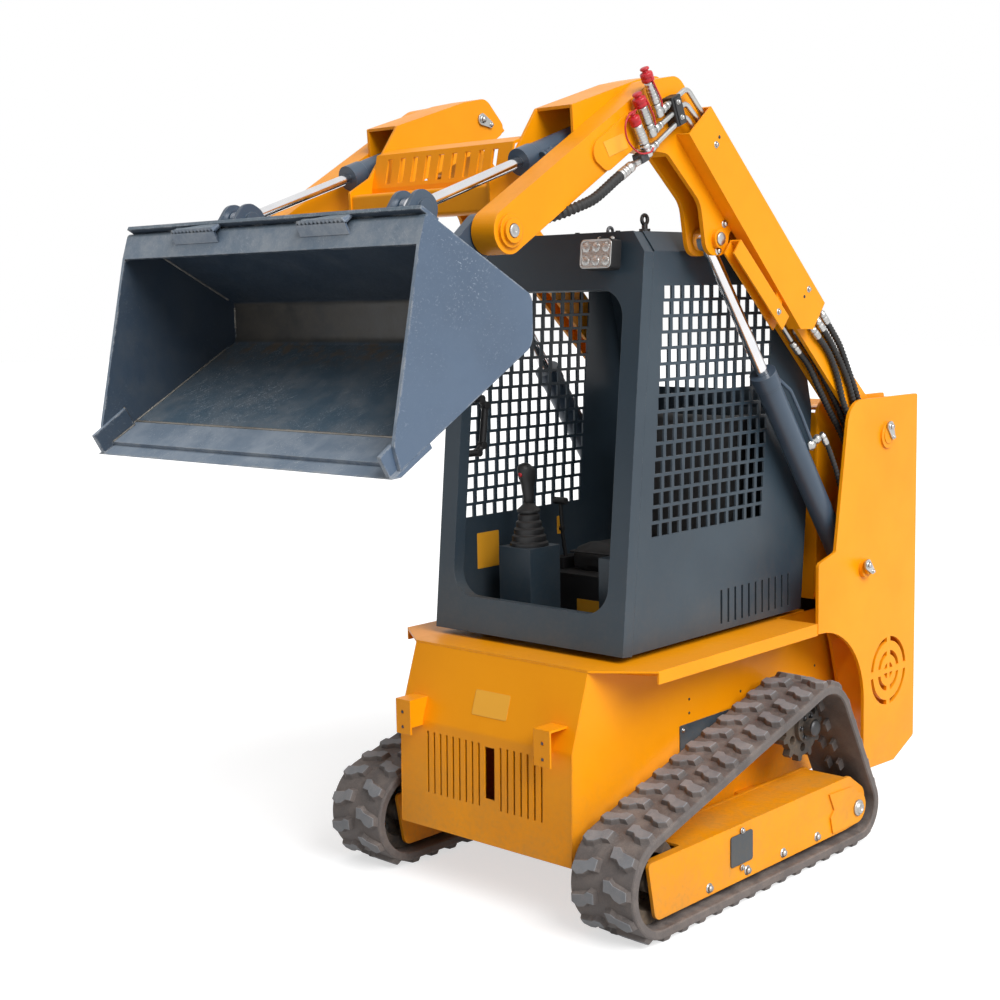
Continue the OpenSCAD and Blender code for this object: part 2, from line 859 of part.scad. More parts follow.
grid_y = -232;
grid_z = 985;
louvre_y = 81;
louvre_z = 703;
louvre_h = 96;
louvre_w = 9;
louvre_pitch = 34;
module cab_side(s) {
    color(slate)
        machine()
            side(s)
                across(half_cab - cab_t, half_cab)
                    difference() {
                        polygon([
                            [cab_back_y, cab_low_z], [cab_front_at(cab_side_z), cab_side_z],
                            cab_rear[2], cab_rear[1], cab_rear[0],
                        ]);
                        for (i = [0:grid_cols - 1], j = [0:grid_rows - 1])
                            translate([grid_y + i * col_pitch + j * row_pitch * tan(lean_angle),
                                       grid_z + j * row_pitch])
                                square([hole_w, hole_h]);
                        for (k = [0:louvre_count - 1])
                            translate([louvre_y + k * louvre_pitch, louvre_z])
                                square([louvre_w, louvre_h]);
                    }
}

module cab_rear() {
    x1 = half_cab - cab_t;
    color(slate)
        machine()
            difference() {
                across(-x1, x1)
                    polygon(sheet(cab_rear, cab_t));
                across(-x1 + 90, x1 - 90)
                    polygon([[380, 1330], [620, 1330], [620, 1650], [380, 1650]]);
            }
}

module cab_roof() {
    t = cab_t;
    y0 = cab_front_at(cab_roof_z) + 0.3;
    y1 = cab_rear[2][0];
    section = [
        [-half_cab, cab_side_z], [-roof_half, cab_roof_z], [roof_half, cab_roof_z], [half_cab, cab_side_z],
    ];
    hollow = [
        [half_cab - 1.3 * t, cab_side_z - 1], [roof_half - 0.4 * t, cab_roof_z - t],
        [-roof_half + 0.4 * t, cab_roof_z - t], [-half_cab + 1.3 * t, cab_side_z - 1],
    ];
    color(slate)
        machine()
            translate([0, y1, 0])
                rotate([90, 0, 0])
                    difference() {
                        linear_extrude(y1 - y0)
                            polygon(section);
                        translate([0, 0, t])
                            linear_extrude(y1 - y0)
                                polygon(hollow);
                    }
}

mount_r = 34;
module cab_floor() {
    x1 = half_cab - cab_t;
    color(slate)
        machine() {
            block([-x1, cab_front_at(cab_low_z + cab_t) + 0.3, cab_low_z],
                  [x1, cab_rear[0][0] - cab_t - 0.5, cab_low_z + cab_t]);
            for (x = [-230, 230], y = [-240, 380])
                translate([x, y, deck_z])
                    cylinder(r = mount_r, h = cab_low_z - deck_z + eps);
        }
}

lamp_x = 223;
lamp_s = 1040;
module work_lamp() {
    w = 106;
    h = 78;
    stand = 14;
    depth = 38;
    color(dark)
        machine()
            on_cab_front()
                translate([lamp_x, lamp_s, 0]) {
                    difference() {
                        translate([0, 0, stand])
                            linear_extrude(depth)
                                polygon(outline([[-w / 2, -h / 2, 9], [w / 2, -h / 2, 9],
                                                 [w / 2, h / 2, 9], [-w / 2, h / 2, 9]]));
                        for (i = [-1:1], j = [-0.5, 0.5])
                            translate([i * 33, j * 35, stand + depth - 6])
                                cylinder(r = 14, h = 7);
                    }
                    for (x = [-16, 10])
                        block([x, h / 2 - 26, 0], [x + 6, h / 2 + 8, stand + 8]);
                }
}

eye_x = 262;
eye_ys = [-150, 360];
eye_ring = 12;
eye_wire = 5;
module lifting_eyes() {
    color(dark)
        machine()
            for (x = [-eye_x, eye_x], y = eye_ys)
                translate([x, y, cab_roof_z]) {
                    cylinder(r = 15, h = 8);
                    cylinder(r = 8, h = 22);
                    translate([0, 0, 20 + eye_ring])
                        rotate([0, 90, 0])
                            rotate_extrude()
                                translate([eye_ring, 0])
                                    circle(r = eye_wire);
                }
}

// Operator's controls and seat
console_x = 185;
console_y = -125;
console_w = 120;
console_top = 905;
module consoles() {
    color(slate)
        machine()
            both()
                difference() {
                    block([console_x - console_w / 2, console_y - 65, cab_low_z + cab_t],
                          [console_x + console_w / 2, console_y + 65, console_top]);
                    block([console_x - console_w / 2 + 4, console_y - 61, cab_low_z + cab_t - 1],
                          [console_x + console_w / 2 - 4, console_y + 61, console_top - 4]);
                }
}

module joysticks() {
    bellows = [
        for (k = [0:4])
            each [[56 - 6 * k, 20 * k], [56 - 6 * k, 20 * k + 9], [49 - 6 * k, 20 * k + 14]]
    ];
    color(dark)
        machine()
            both()
                translate([console_x, console_y, console_top]) {
                    rotate_extrude()
                        polygon([[0, 0], each bellows, [24, 100], [0, 100]]);
                    rotate_extrude()
                        polygon([[0, 98], [34, 98], [34, 104], [13, 124], [15, 160],
                                 [22, 200], [20, 222], [10, 230], [0, 230]]);
                }
}

seat_front_y = 70;
seat_w = 450;
box_top = 800;
module seat_box() {
    x1 = half_cab - cab_t;
    y1 = cab_rear[0][0] - cab_t - 2;
    color(dark)
        machine()
            difference() {
                block([-x1 + 0.3, seat_front_y - 30, cab_low_z + cab_t], [x1 - 0.3, y1, box_top]);
                block([-x1 + 6, seat_front_y - 24, cab_low_z + cab_t - 1],
                      [x1 - 6, y1 - 6, box_top - 6]);
            }
}

module seat() {
    pad = 86;
    back_y = 400;
    color(dark)
        machine() {
            across(-seat_w / 2, seat_w / 2)
                polygon(outline([
                    [seat_front_y, box_top, 10], [seat_front_y, box_top + pad, 38],
                    [back_y - 30, box_top + pad - 8, 25], [back_y + 8, box_top + 480, 30],
                    [back_y + 76, box_top + 480, 30], [back_y + 68, box_top, 10],
                ]));
        }
}

lever_x = -262;
lever_y = 130;
module hand_lever() {
    color(dark)
        machine() {
            block([lever_x - 22, lever_y - 40, box_top], [lever_x + 22, lever_y + 50, box_top + 34]);
            tube([[lever_x, lever_y, box_top + 20], [lever_x, lever_y - 18, box_top + 120],
                  [lever_x, lever_y - 24, box_top + 205]], 6);
            translate([lever_x - 22, lever_y - 24, box_top + 205])
                rotate([0, 90, 0])
                    cylinder(r = 11, h = 44);
        }
}

handle_x = -302;
handle_r = 10;
module grab_handle() {
    low = 1175;
    high = 1330;
    reach = 78;
    foot = [cab_front_at(low), cab_front_at(high)];
    color(dark)
        machine()
            difference() {
                tube([[handle_x, foot[1] - 12, high], [handle_x, foot[1] + reach - 20, high],
                      [handle_x, foot[1] + reach, high - 20], [handle_x, foot[0] + reach, low + 20],
                      [handle_x, foot[0] + reach - 20, low], [handle_x, foot[0] - 12, low]], handle_r);
                across(handle_x - 30, handle_x + 30)
                    polygon([[cab_foot_y, cab_low_z], [cab_back_y, cab_low_z],
                             [cab_front_at(cab_side_z), cab_side_z], [cab_foot_y, cab_side_z]]);
            }
}

// Lift cylinders
lift_eye = [lift_eye_y, lift_eye_z];
lift_foot = [lift_foot_y, lift_foot_z];
lift_len = norm(lift_eye - lift_foot);
lift_dir = atan2(lift_eye[1] - lift_foot[1], lift_eye[0] - lift_foot[0]);

// Turns z along a y-z direction given as an angle from +y
module along(x, p, angle) {
    translate([x, p[0], p[1]])
        rotate([angle - 90, 0, 0])
            children();
}

module barrel(x, foot, dir, len, r, rod_r, eye_r, eye_w, pin_r) {
    difference() {
        union() {
            along(x, foot, dir) {
                cylinder(r = r, h = len);
                translate([0, 0, len - 46])
                    cylinder(r = r + 3, h = 46);
            }
            bar(foot, eye_r, x - eye_w / 2, x + eye_w / 2);
        }
        along(x, foot, dir)
            translate([0, 0, eye_r + 14])
                cylinder(r = rod_r + pin_gap, h = len);
        bar(foot, pin_r + pin_gap, x - eye_w, x + eye_w);
    }
}

module rod(x, eye, dir, len, r, eye_r, eye_w, pin_r) {
    difference() {
        union() {
            along(x, eye, dir + 180)
                cylinder(r = r, h = len);
            bar(eye, eye_r, x - eye_w / 2, x + eye_w / 2);
            along(x, eye, dir + 180)
                cylinder(r = r + 4, h = eye_r + 12);
        }
        bar(eye, pin_r, x - eye_w, x + eye_w);
    }
}

lift_inside = 290;
lift_eye_w = 38;
module lift_barrels() {
    color(slate)
        machine()
            both()
                barrel(arm_mid, lift_foot, lift_dir, lift_barrel_l, lift_barrel_r, lift_rod_r, 40, 64, 18);
}

module lift_rods() {
    color(steel)
        machine()
            both()
                rod(arm_mid, lift_eye, lift_dir, lift_len - lift_barrel_l + lift_inside, lift_rod_r,
                    31, lift_eye_w, 14);
}

// Arms
function bar_dir() = [cos(bar_slope), sin(bar_slope)];
bucket_pin = [bucket_pin_y, bucket_pin_z];
pivot = [pivot_y, pivot_z];
arm_hub_r = 54;
rear_dir = [0.739, -0.674];

arm_profile = outline([
    [each bucket_pin - bar_half * bar_dir() + bar_half * turn(bar_dir()), bar_half - 1],
    [each bucket_pin - bar_half * bar_dir() - bar_half * turn(bar_dir()), bar_half - 1],
    [each bucket_pin + 492 * bar_dir() - bar_half * turn(bar_dir()), 30],
    [-274, 1966, 40], [-133, 1849, 70],
    [lift_eye_y - 45, lift_eye_z - 43, 42], [lift_eye_y + 45, lift_eye_z - 43, 42],
    [lift_eye_y + 63, lift_eye_z + 41, 20],
    [each pivot + arm_hub_r * rear_dir - arm_hub_r * turn(rear_dir), arm_hub_r - 3],
    [each pivot + arm_hub_r * rear_dir + arm_hub_r * turn(rear_dir), arm_hub_r - 3],
    [600, 1396, 80], [-228, 2161, 55], [-330, 2141, 70],
]);
arm_channel = [
    [-222, 2090], [690, 1284], [690, 900], [-360, 1500], [-330, 1934], [-270, 1950],
];

module arm(s) {
    hub_w = 88;
    color(paint)
        machine()
            side(s)
                difference() {
                    union() {
                        across(arm_in_x, arm_out_x)
                            polygon(arm_profile);
                        bar(pivot, arm_hub_r - 6, arm_mid - hub_w / 2, arm_mid + hub_w / 2);
                        bar(bucket_pin, 38, arm_out_x - eps, arm_out_x + 7);
                        bar(bucket_pin, 28, arm_out_x - eps, arm_out_x + 14);
                        bar(lift_eye, 24, arm_out_x - eps, arm_out_x + 12);
                        across(arm_out_x - eps, arm_out_x + 6)
                            polygon(outline([[-585, 1945, 30], [-520, 1908, 30], [-395, 1982, 12],
                                             [-395, 2078, 20], [-560, 1980, 20]]));
                    }
                    across(arm_in_x + arm_t, arm_out_x - arm_t)
                        polygon(arm_channel);
                    bar(pivot, pivot_r + pin_gap, tower_in_x, tower_x);
                    bar(bucket_pin, bucket_pin_r + pin_gap, arm_in_x - 10, arm_out_x + 20);
                }
}

// Hoods over the tilt cylinders, with the pin that each is hung on
tilt_foot = [tilt_foot_y, tilt_foot_z];
tilt_eye = [tilt_eye_y, tilt_eye_z];
hood_top = [[-558, 2072], [-306, 2150], [-215, 2169], [-131, 2087]];
tilt_pin_r = 14;
module hood(s) {
    inner = outline([
        [-558, 2072, 12], [-306, 2150, 50], [-215, 2169, 40], [-131, 2087, 25],
        [-206, 2040, 20], [-420, 1950, 30], [-628, 1884, 20], [-676, 1816, 10],
        [-730, 1816, 10], [-734, 1892, 12], [-662, 1932, 12],
    ]);
    outer = outline([
        [-558, 2072, 4], [-306, 2150, 50], [-215, 2169, 40], [-131, 2087, 25],
        [-206, 2040, 20], [-330, 2060, 20], [-552, 1975, 10],
    ]);
    color(paint)
        machine()
            side(s) {
                across(hood_in_x, hood_in_x + hood_t)
                    polygon(inner);
                across(arm_in_x - hood_t, arm_in_x)
                    polygon(outer);
                across(hood_in_x + hood_t - eps, arm_in_x - hood_t + eps)
                    polygon(sheet(path([for (p = hood_top) [each p, 30]]), -hood_t));
                bar(tilt_foot, tilt_pin_r, hood_in_x, arm_in_x);
            }
}

module cross_member() {
    shelf = sheet([[-590, 2006], [-636, 1990], [-656, 1904], [-656, 1880]], 7);
    color(paint)
        machine() {
            difference() {
                across(-hood_in_x, hood_in_x)
                    polygon(shelf);
                for (k = [-4:4])
                    block([k * 46 - 9, -720, 1914], [k * 46 + 9, -600, 1976]);
            }
            difference() {
                across(-hood_in_x, hood_in_x)
                    polygon(outline([[-728, 1818, 10], [-728, 1886, 10], [-640, 1886, 10], [-676, 1818, 10]]));
                across(-hood_in_x - 1, hood_in_x + 1)
                    polygon([[-720, 1826], [-720, 1878], [-656, 1878], [-680, 1826]]);
            }
        }
}

// Tilt cylinders
tilt_len = norm(tilt_eye - tilt_foot);
tilt_dir = atan2(tilt_eye[1] - tilt_foot[1], tilt_eye[0] - tilt_foot[0]);
tilt_inside = 230;
tilt_eye_w = 40;
module tilt_barrels() {
    color(slate)
        machine()
            both()
                barrel(tilt_mid, tilt_foot, tilt_dir, tilt_barrel_l, tilt_barrel_r, tilt_rod_r,
                       33, 60, tilt_pin_r);
}

module tilt_rods() {
    color(steel)
        machine()
            both()
                rod(tilt_mid, tilt_eye, tilt_dir, tilt_len - tilt_barrel_l + tilt_inside, tilt_rod_r,
                    26, tilt_eye_w, 13);
}

// Channel that covers the auxiliary tubes on the left arm
cover_w = 40;
cover = [[-237, 2013], [-143, 2087], [406, 1586], [346, 1514], [281, 1516]];
function cover_low(y) =
    cover[0][1] + (y - cover[0][0]) * (cover[4][1] - cover[0][1]) / (cover[4][0] - cover[0][0]);

module arm_cover() {
    t = 5;
    across_in = unit(cover[1] - cover[0]);
    run = unit(cover[2] - cover[1]);
    low = cover[0] + across_in * t;
    high = cover[1] - across_in * t;
    color(paint)
        machine()
            difference() {
                across(arm_out_x, arm_out_x + cover_w)
                    polygon(cover);
                across(arm_out_x - 1, arm_out_x + cover_w - t)
                    polygon([low - 60 * run, high - 60 * run, high + 900 * run, low + 900 * run]);
            }
}

// Safety prop stowed below the cover
module arm_prop() {
    start = [-34, 1738];
    finish = [196, 1534];
    run = unit(finish - start);
    up = [-run[1], run[0]];
    t = 5;
    low_x = arm_out_x + 12;
    color(paint)
        machine() {
            difference() {
                across(low_x, low_x + 34)
                    polygon([start - 24 * up, start + 24 * up, finish + 24 * up, finish - 24 * up]);
                across(low_x + t, low_x + 34 - t)
                    polygon([start - 30 * up - 40 * run, start + (24 - t) * up - 40 * run,
                             finish + (24 - t) * up + 40 * run, finish - 30 * up + 40 * run]);
            }
            across(low_x, low_x + 20)
                polygon([finish - 44 * run + 20 * up, finish - 20 * run + 20 * up,
                         [200, cover_low(200) - 0.2], [170, cover_low(170) - 0.2]]);
        }
}

// Auxiliary hydraulics: three couplers, their tubes and the clamp on the left arm
aux_x = arm_out_x + 24;
aux_r = 8;
coupler_r = 13;
coupler_tops = [[-381, 2130], [-409, 2069], [-429, 2023]];
coupler_feet = [[-341, 2059], [-370, 2010], [-387, 1961]];
cap_rs = [16, 17, 14];
module aux_lines() {
    bends = [[-225, 2127], [-231, 2091], [-233, 2060]];
    ends = [[-124, 2038], [-137, 2020], [-162, 1996]];
    color(steel)
        machine() {
            for (k = [0:2]) {
                foot = coupler_feet[k];
                top = coupler_tops[k];
                dir = atan2(top[1] - foot[1], top[0] - foot[0]);
                along(aux_x, foot, dir) {
                    cylinder(r = coupler_r - 2, h = norm(top - foot));
                    translate([0, 0, 14])
                        cylinder(r = coupler_r, h = norm(top - foot) - 20);
                }
                tube([[aux_x, each foot], [aux_x, each bends[k]], [aux_x, each ends[k]]], aux_r);
                bar(foot, coupler_r, aux_x - coupler_r, aux_x + coupler_r);
            }
            across(arm_out_x, aux_x + 12)
                polygon(outline([[-302, 2096, 5], [-266, 2110, 5], [-236, 2042, 5], [-272, 2028, 5]]));
        }
}

module coupler_caps() {
    color(cap_red)
        machine()
            for (k = [0:2]) {
                foot = coupler_feet[k];
                top = coupler_tops[k];
                dir = atan2(top[1] - foot[1], top[0] - foot[0]);
                along(aux_x, top, dir)
                    rotate_extrude()
                        polygon([[0, 0.2], [cap_rs[k] - 1, 0.2], [cap_rs[k], 20], [cap_rs[k] - 4, 24],
                                 [cap_rs[k] - 8, 27], [cap_rs[k] - 4, 31], [cap_rs[k] - 5, 35], [0, 36]]);
            }
}

// Bucket, its hitch lugs and its cutting edge
module bucket() {
    half = bucket_w / 2;
    out = [upper_dir[1], -upper_dir[0]];
    bar_t = 9;
    shell = path([
        [each tip + 40 * floor_dir], [each heel, 40], [each back_top, 30], [each bucket_top, 12],
        [each lip_end],
    ]);
    cheek = outline([
        [each tip + 30 * floor_dir, 0], [each heel, 40], [each back_top, 30], [each bucket_top, 12],
        [each lip_end, 10], [each tip + [9, 67], 20],
    ]);
    color(scuffed)
        machine() {
            across(-half + bucket_t - eps, half - bucket_t + eps)
                polygon(sheet(shell, bucket_t));
            both()
                across(half - bucket_t, half)
                    polygon(cheek);
            across(-half + 8, half - 8)
                polygon([bucket_top - 46 * upper_dir - eps * out, bucket_top - 10 * upper_dir - eps * out,
                         bucket_top + 10 * upper_dir + eps * out, bucket_top + 10 * upper_dir + bar_t * out,
                         bucket_top - 46 * upper_dir + bar_t * out]);
        }
}

module bucket_edge() {
    half = bucket_w / 2;
    cutter_t = 10;
    lap = 116;
    inner_x = half - bucket_t - 0.1;
    color(scuffed)
        machine() {
            across(-half, half)
                polygon([tip, tip + edge_d * floor_dir, tip + edge_d * floor_dir - edge_t * floor_up,
                         tip + 24 * floor_dir - edge_t * floor_up]);
            both()
                across(inner_x - cutter_t, inner_x)
                    polygon([tip + 4 * floor_dir - eps * floor_up, tip + 39.8 * floor_dir - eps * floor_up,
                             tip + 39.8 * floor_dir + (bucket_t + 0.2) * floor_up,
                             tip + lap * floor_dir + (bucket_t + 0.2) * floor_up,
                             tip + lap * floor_dir + 58 * floor_up, cutter_front]);
        }
}

lug_w = 26;
tilt_ear = 10;
ear_gap = 4;
doubler_t = 10;
seat_gap = 0.1;
module hitch() {
    out = [upper_dir[1], -upper_dir[0]];
    lug_r = 36;
    ear_r = 38;
    pin_x = arm_in_x - 4;
    ear_x = tilt_eye_w / 2 + ear_gap;
    lug_foot = [back_top + 20 * upper_dir, back_top + 150 * upper_dir];
    ear_foot = [back_top + 162 * upper_dir, back_top + 274 * upper_dir];
    color(slate)
        machine()
            both() {
                across(tilt_mid - ear_x - tilt_ear - 14, pin_x)
                    polygon([lug_foot[0] + seat_gap * out, ear_foot[1] + seat_gap * out,
                             ear_foot[1] + doubler_t * out, lug_foot[0] + doubler_t * out]);
                across(pin_x - lug_w, pin_x)
                    polygon(outline([
                        [each lug_foot[0] + 2 * out, 0], [each lug_foot[1] + 2 * out, 0],
                        [each bucket_pin + lug_r * (upper_dir + out), lug_r - 1],
                        [each bucket_pin + lug_r * (out - upper_dir), lug_r - 1],
                    ]));
                bar(bucket_pin, bucket_pin_r, pin_x - lug_w, arm_out_x + 12);
                for (x = [tilt_mid - ear_x - tilt_ear, tilt_mid + ear_x])
                    across(x, x + tilt_ear)
                        polygon(outline([
                            [each ear_foot[0] + 2 * out, 0], [each ear_foot[1] + 2 * out, 0],
                            [each tilt_eye + ear_r * (upper_dir + out), ear_r - 1],
                            [each tilt_eye + ear_r * (out - upper_dir), ear_r - 1],
                        ]));
                bar(tilt_eye, 20, tilt_mid - ear_x - tilt_ear - 8, tilt_mid - ear_x - tilt_ear + eps);
                bar(tilt_eye, 20, tilt_mid + ear_x + tilt_ear - eps, tilt_mid + ear_x + tilt_ear + 8);
            }
}

chassis();
front_panel();
arm_rests();
deck();
tower(1);  // tower_left
tower(-1);  // tower_right
firewall();
engine();
engine_hood();
rear_door();
cab_front();
cab_side(1);  // cab_left
cab_side(-1);  // cab_right
cab_rear();
cab_roof();
cab_floor();
work_lamp();
lifting_eyes();
consoles();
joysticks();
seat_box();
seat();
hand_lever();
grab_handle();
track_frame(1);  // track_frame_left
track_frame(-1);  // track_frame_right
track_wheels(1);  // wheels_left
track_wheels(-1);  // wheels_right
belt(1);  // belt_left
belt(-1);  // belt_right
lift_barrels();
lift_rods();
arm(1);  // arm_left
arm(-1);  // arm_right
hood(1);  // hood_left
hood(-1);  // hood_right
cross_member();
arm_cover();
arm_prop();
aux_lines();
coupler_caps();
tilt_barrels();
tilt_rods();
hitch();
bucket();
bucket_edge();
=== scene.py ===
import json
import math

import bmesh
import bpy
from mathutils import Matrix, Vector


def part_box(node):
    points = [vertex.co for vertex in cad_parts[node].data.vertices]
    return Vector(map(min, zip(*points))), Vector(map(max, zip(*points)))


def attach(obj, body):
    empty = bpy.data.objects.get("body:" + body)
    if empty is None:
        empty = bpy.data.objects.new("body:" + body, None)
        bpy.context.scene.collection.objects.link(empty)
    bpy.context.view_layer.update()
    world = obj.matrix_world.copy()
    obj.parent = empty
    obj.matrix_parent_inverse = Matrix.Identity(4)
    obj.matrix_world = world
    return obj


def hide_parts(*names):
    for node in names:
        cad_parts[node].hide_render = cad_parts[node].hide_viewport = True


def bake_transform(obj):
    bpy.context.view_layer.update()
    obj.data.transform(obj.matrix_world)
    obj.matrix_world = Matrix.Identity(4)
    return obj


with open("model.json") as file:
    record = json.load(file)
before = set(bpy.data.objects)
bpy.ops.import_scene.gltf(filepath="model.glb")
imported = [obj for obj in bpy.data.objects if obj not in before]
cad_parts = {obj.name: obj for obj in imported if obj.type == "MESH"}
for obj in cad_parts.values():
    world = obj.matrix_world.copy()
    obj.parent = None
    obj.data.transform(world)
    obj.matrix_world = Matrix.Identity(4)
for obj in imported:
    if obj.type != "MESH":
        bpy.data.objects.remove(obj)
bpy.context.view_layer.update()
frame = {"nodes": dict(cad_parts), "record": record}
nodes = frame["nodes"]
scene = bpy.context.scene
towerRear = 966  # rear edge of the towers in the machine's own millimetres
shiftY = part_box("tower_left")[1].y - towerRear / 1000
print("frame loaded:", len(nodes), "nodes, shift", round(shiftY, 4))


# machine millimetres to the row frame
def at(x, y, z):
    return Vector((x / 1000, y / 1000 + shiftY, z / 1000))


# camera, light and floor
view = dict(place=(2889.4, -3580.5, 1613.0), turn=42.683, down=7.086, roll=-1.075, lens=58.1)
studio = dict(floor=0.55, floorGlow=0.62, skyHigh=0.60, skyLow=0.36, key=2.9, keySoft=40, keyAim=(-0.82, 0.20, -0.74),
        skyAim=(0.80, 0.60), skyTilt=0.75)


def makeCamera():
    cam = bpy.data.cameras.new("camera")
    cam.lens, cam.sensor_width = view["lens"], 36
    holder = bpy.data.objects.new("camera", cam)
    scene.collection.objects.link(holder)
    a, e, r = (math.radians(view[k]) for k in ("turn", "down", "roll"))
    back = Vector((math.sin(a) * math.cos(e), -math.cos(a) * math.cos(e), math.sin(e)))
    right = Vector((math.cos(a), math.sin(a), 0))
    up = back.cross(right)
    rolledRight = math.cos(r) * right + math.sin(r) * up
    rolledUp = -math.sin(r) * right + math.cos(r) * up
    turn = Matrix((rolledRight, rolledUp, back)).transposed()
    holder.matrix_world = Matrix.Translation(at(*view["place"])) @ turn.to_4x4()
    scene.camera = holder


# one for rays that show the background: straight, mirrored or through glass
def seenRays(nt):
    rays = nt.nodes.new("ShaderNodeLightPath")
    seen = rays.outputs["Is Camera Ray"]
    for label in ("Is Glossy Ray", "Is Transmission Ray"):
        both = nt.nodes.new("ShaderNodeMath")
        both.operation = "MAXIMUM"
        nt.links.new(seen, both.inputs[0])
        nt.links.new(rays.outputs[label], both.inputs[1])
        seen = both.outputs[0]
    return seen


def makeFloor():
    bpy.ops.mesh.primitive_plane_add(size=80, location=(0, 0, -0.0005))
    floor = bpy.context.object
    floor.name = "floor"
    mat = bpy.data.materials.new("paleFloor")
    mat.use_nodes = True
    nt = mat.node_tree
    bsdf = nt.nodes["Principled BSDF"]
    bsdf.inputs["Base Color"].default_value = (studio["floor"],) * 3 + (1,)
    bsdf.inputs["Roughness"].default_value = 0.9
    bsdf.inputs["Specular IOR Level"].default_value = 0.1
    lift = nt.nodes.new("ShaderNodeMath")
    lift.operation = "MULTIPLY"
    lift.inputs[1].default_value = studio["floorGlow"]
    nt.links.new(seenRays(nt), lift.inputs[0])
    bsdf.inputs["Emission Color"].default_value = (1, 1, 1, 1)
    nt.links.new(lift.outputs[0], bsdf.inputs["Emission Strength"])
    floor.data.materials.append(mat)


# white where the background shows, an overcast sky for the light
def makeSky():
    world = bpy.data.worlds.new("studioSky")
    world.use_nodes = True
    scene.world = world
    nt = world.node_tree
    where = nt.nodes.new("ShaderNodeTexCoord")
    split = nt.nodes.new("ShaderNodeSeparateXYZ")
    grade = nt.nodes.new("ShaderNodeMapRange")
    grade.inputs["From Min"].default_value, grade.inputs["From Max"].default_value = 0.0, 0.8
    grade.inputs["To Min"].default_value, grade.inputs["To Max"].default_value = studio["skyLow"], studio["skyHigh"]
    sky = nt.nodes["Background"]
    sky.inputs["Color"].default_value = (1, 1, 1, 1)
    plain = nt.nodes.new("ShaderNodeBackground")
    plain.inputs["Color"].default_value = (1, 1, 1, 1)
    pick = nt.nodes.new("ShaderNodeMixShader")
    nt.links.new(where.outputs["Generated"], split.inputs[0])
    nt.links.new(split.outputs[2], grade.inputs["Value"])
    # brighter towards the key side, darker in front
    lean = None
    for k in (0, 1):
        part = nt.nodes.new("ShaderNodeMath")
        part.operation = "MULTIPLY_ADD"
        nt.links.new(split.outputs[k], part.inputs[0])
        part.inputs[1].default_value = studio["skyAim"][k] * studio["skyTilt"]
        part.inputs[2].default_value = 1.0
        if lean:
            nt.links.new(lean.outputs[0], part.inputs[2])
        lean = part
    total = nt.nodes.new("ShaderNodeMath")
    total.operation = "MULTIPLY"
    nt.links.new(grade.outputs[0], total.inputs[0])
    nt.links.new(lean.outputs[0], total.inputs[1])
    nt.links.new(total.outputs[0], sky.inputs["Strength"])
    nt.links.new(seenRays(nt), pick.inputs[0])
    nt.links.new(sky.outputs[0], pick.inputs[1])
    nt.links.new(plain.outputs[0], pick.inputs[2])
    nt.links.new(pick.outputs[0], nt.nodes["World Output"].inputs[0])


def makeKey():
    lamp = bpy.data.lights.new("keyLight", "SUN")
    lamp.energy, lamp.angle = studio["key"], math.radians(studio["keySoft"])
    holder = bpy.data.objects.new("keyLight", lamp)
    holder.rotation_euler = Vector(studio["keyAim"]).to_track_quat("-Z", "Y").to_euler()
    scene.collection.objects.link(holder)
    scene.view_settings.view_transform = "Standard"


makeCamera()
makeFloor()
makeSky()
makeKey()
print("stage set")


# shader groups: settled dust, rubbed edges, paint texture, scuffs
def socketIn(tree, value, socket):
    if isinstance(value, bpy.types.NodeSocket):
        tree.links.new(value, socket)
    else:
        socket.default_value = value


def calc(tree, op, a, b=0.0, clamp=False):
    n = tree.nodes.new("ShaderNodeMath")
    n.operation, n.use_clamp = op, clamp
    socketIn(tree, a, n.inputs[0])
    socketIn(tree, b, n.inputs[1])
    return n.outputs[0]


def noise(tree, coords, scale, detail=3.0, rough=0.55):
    n = tree.nodes.new("ShaderNodeTexNoise")
    tree.links.new(coords, n.inputs["Vector"])
    socketIn(tree, scale, n.inputs["Scale"])
    n.inputs["Detail"].default_value = detail
    n.inputs["Roughness"].default_value = rough
    return n.outputs["Fac"]


def ramp(tree, value, low, high):
    n = tree.nodes.new("ShaderNodeMapRange")
    n.interpolation_type = "SMOOTHSTEP"
    socketIn(tree, value, n.inputs["Value"])
    socketIn(tree, low, n.inputs["From Min"])
    socketIn(tree, high, n.inputs["From Max"])
    return n.outputs["Result"]


def blendColour(tree, mask, a, b):
    n = tree.nodes.new("ShaderNodeMix")
    n.data_type = "RGBA"
    socketIn(tree, mask, n.inputs["Factor"])
    socketIn(tree, a if isinstance(a, bpy.types.NodeSocket) else (*a, 1), n.inputs["A"])
    socketIn(tree, b if isinstance(b, bpy.types.NodeSocket) else (*b, 1), n.inputs["B"])
    return n.outputs["Result"]


def newGroup(name, inputs, outputs):
    tree = bpy.data.node_groups.new(name, "ShaderNodeTree")
    for label, value in inputs.items():
        tree.interface.new_socket(label, in_out="INPUT", socket_type="NodeSocketFloat").default_value = value
    for label in outputs:
        tree.interface.new_socket(label, in_out="OUTPUT", socket_type="NodeSocketFloat")
    ends = tree.nodes.new("NodeGroupInput"), tree.nodes.new("NodeGroupOutput")
    where = tree.nodes.new("ShaderNodeTexCoord").outputs["Object"]
    return tree, ends[0].outputs, ends[1].inputs, where


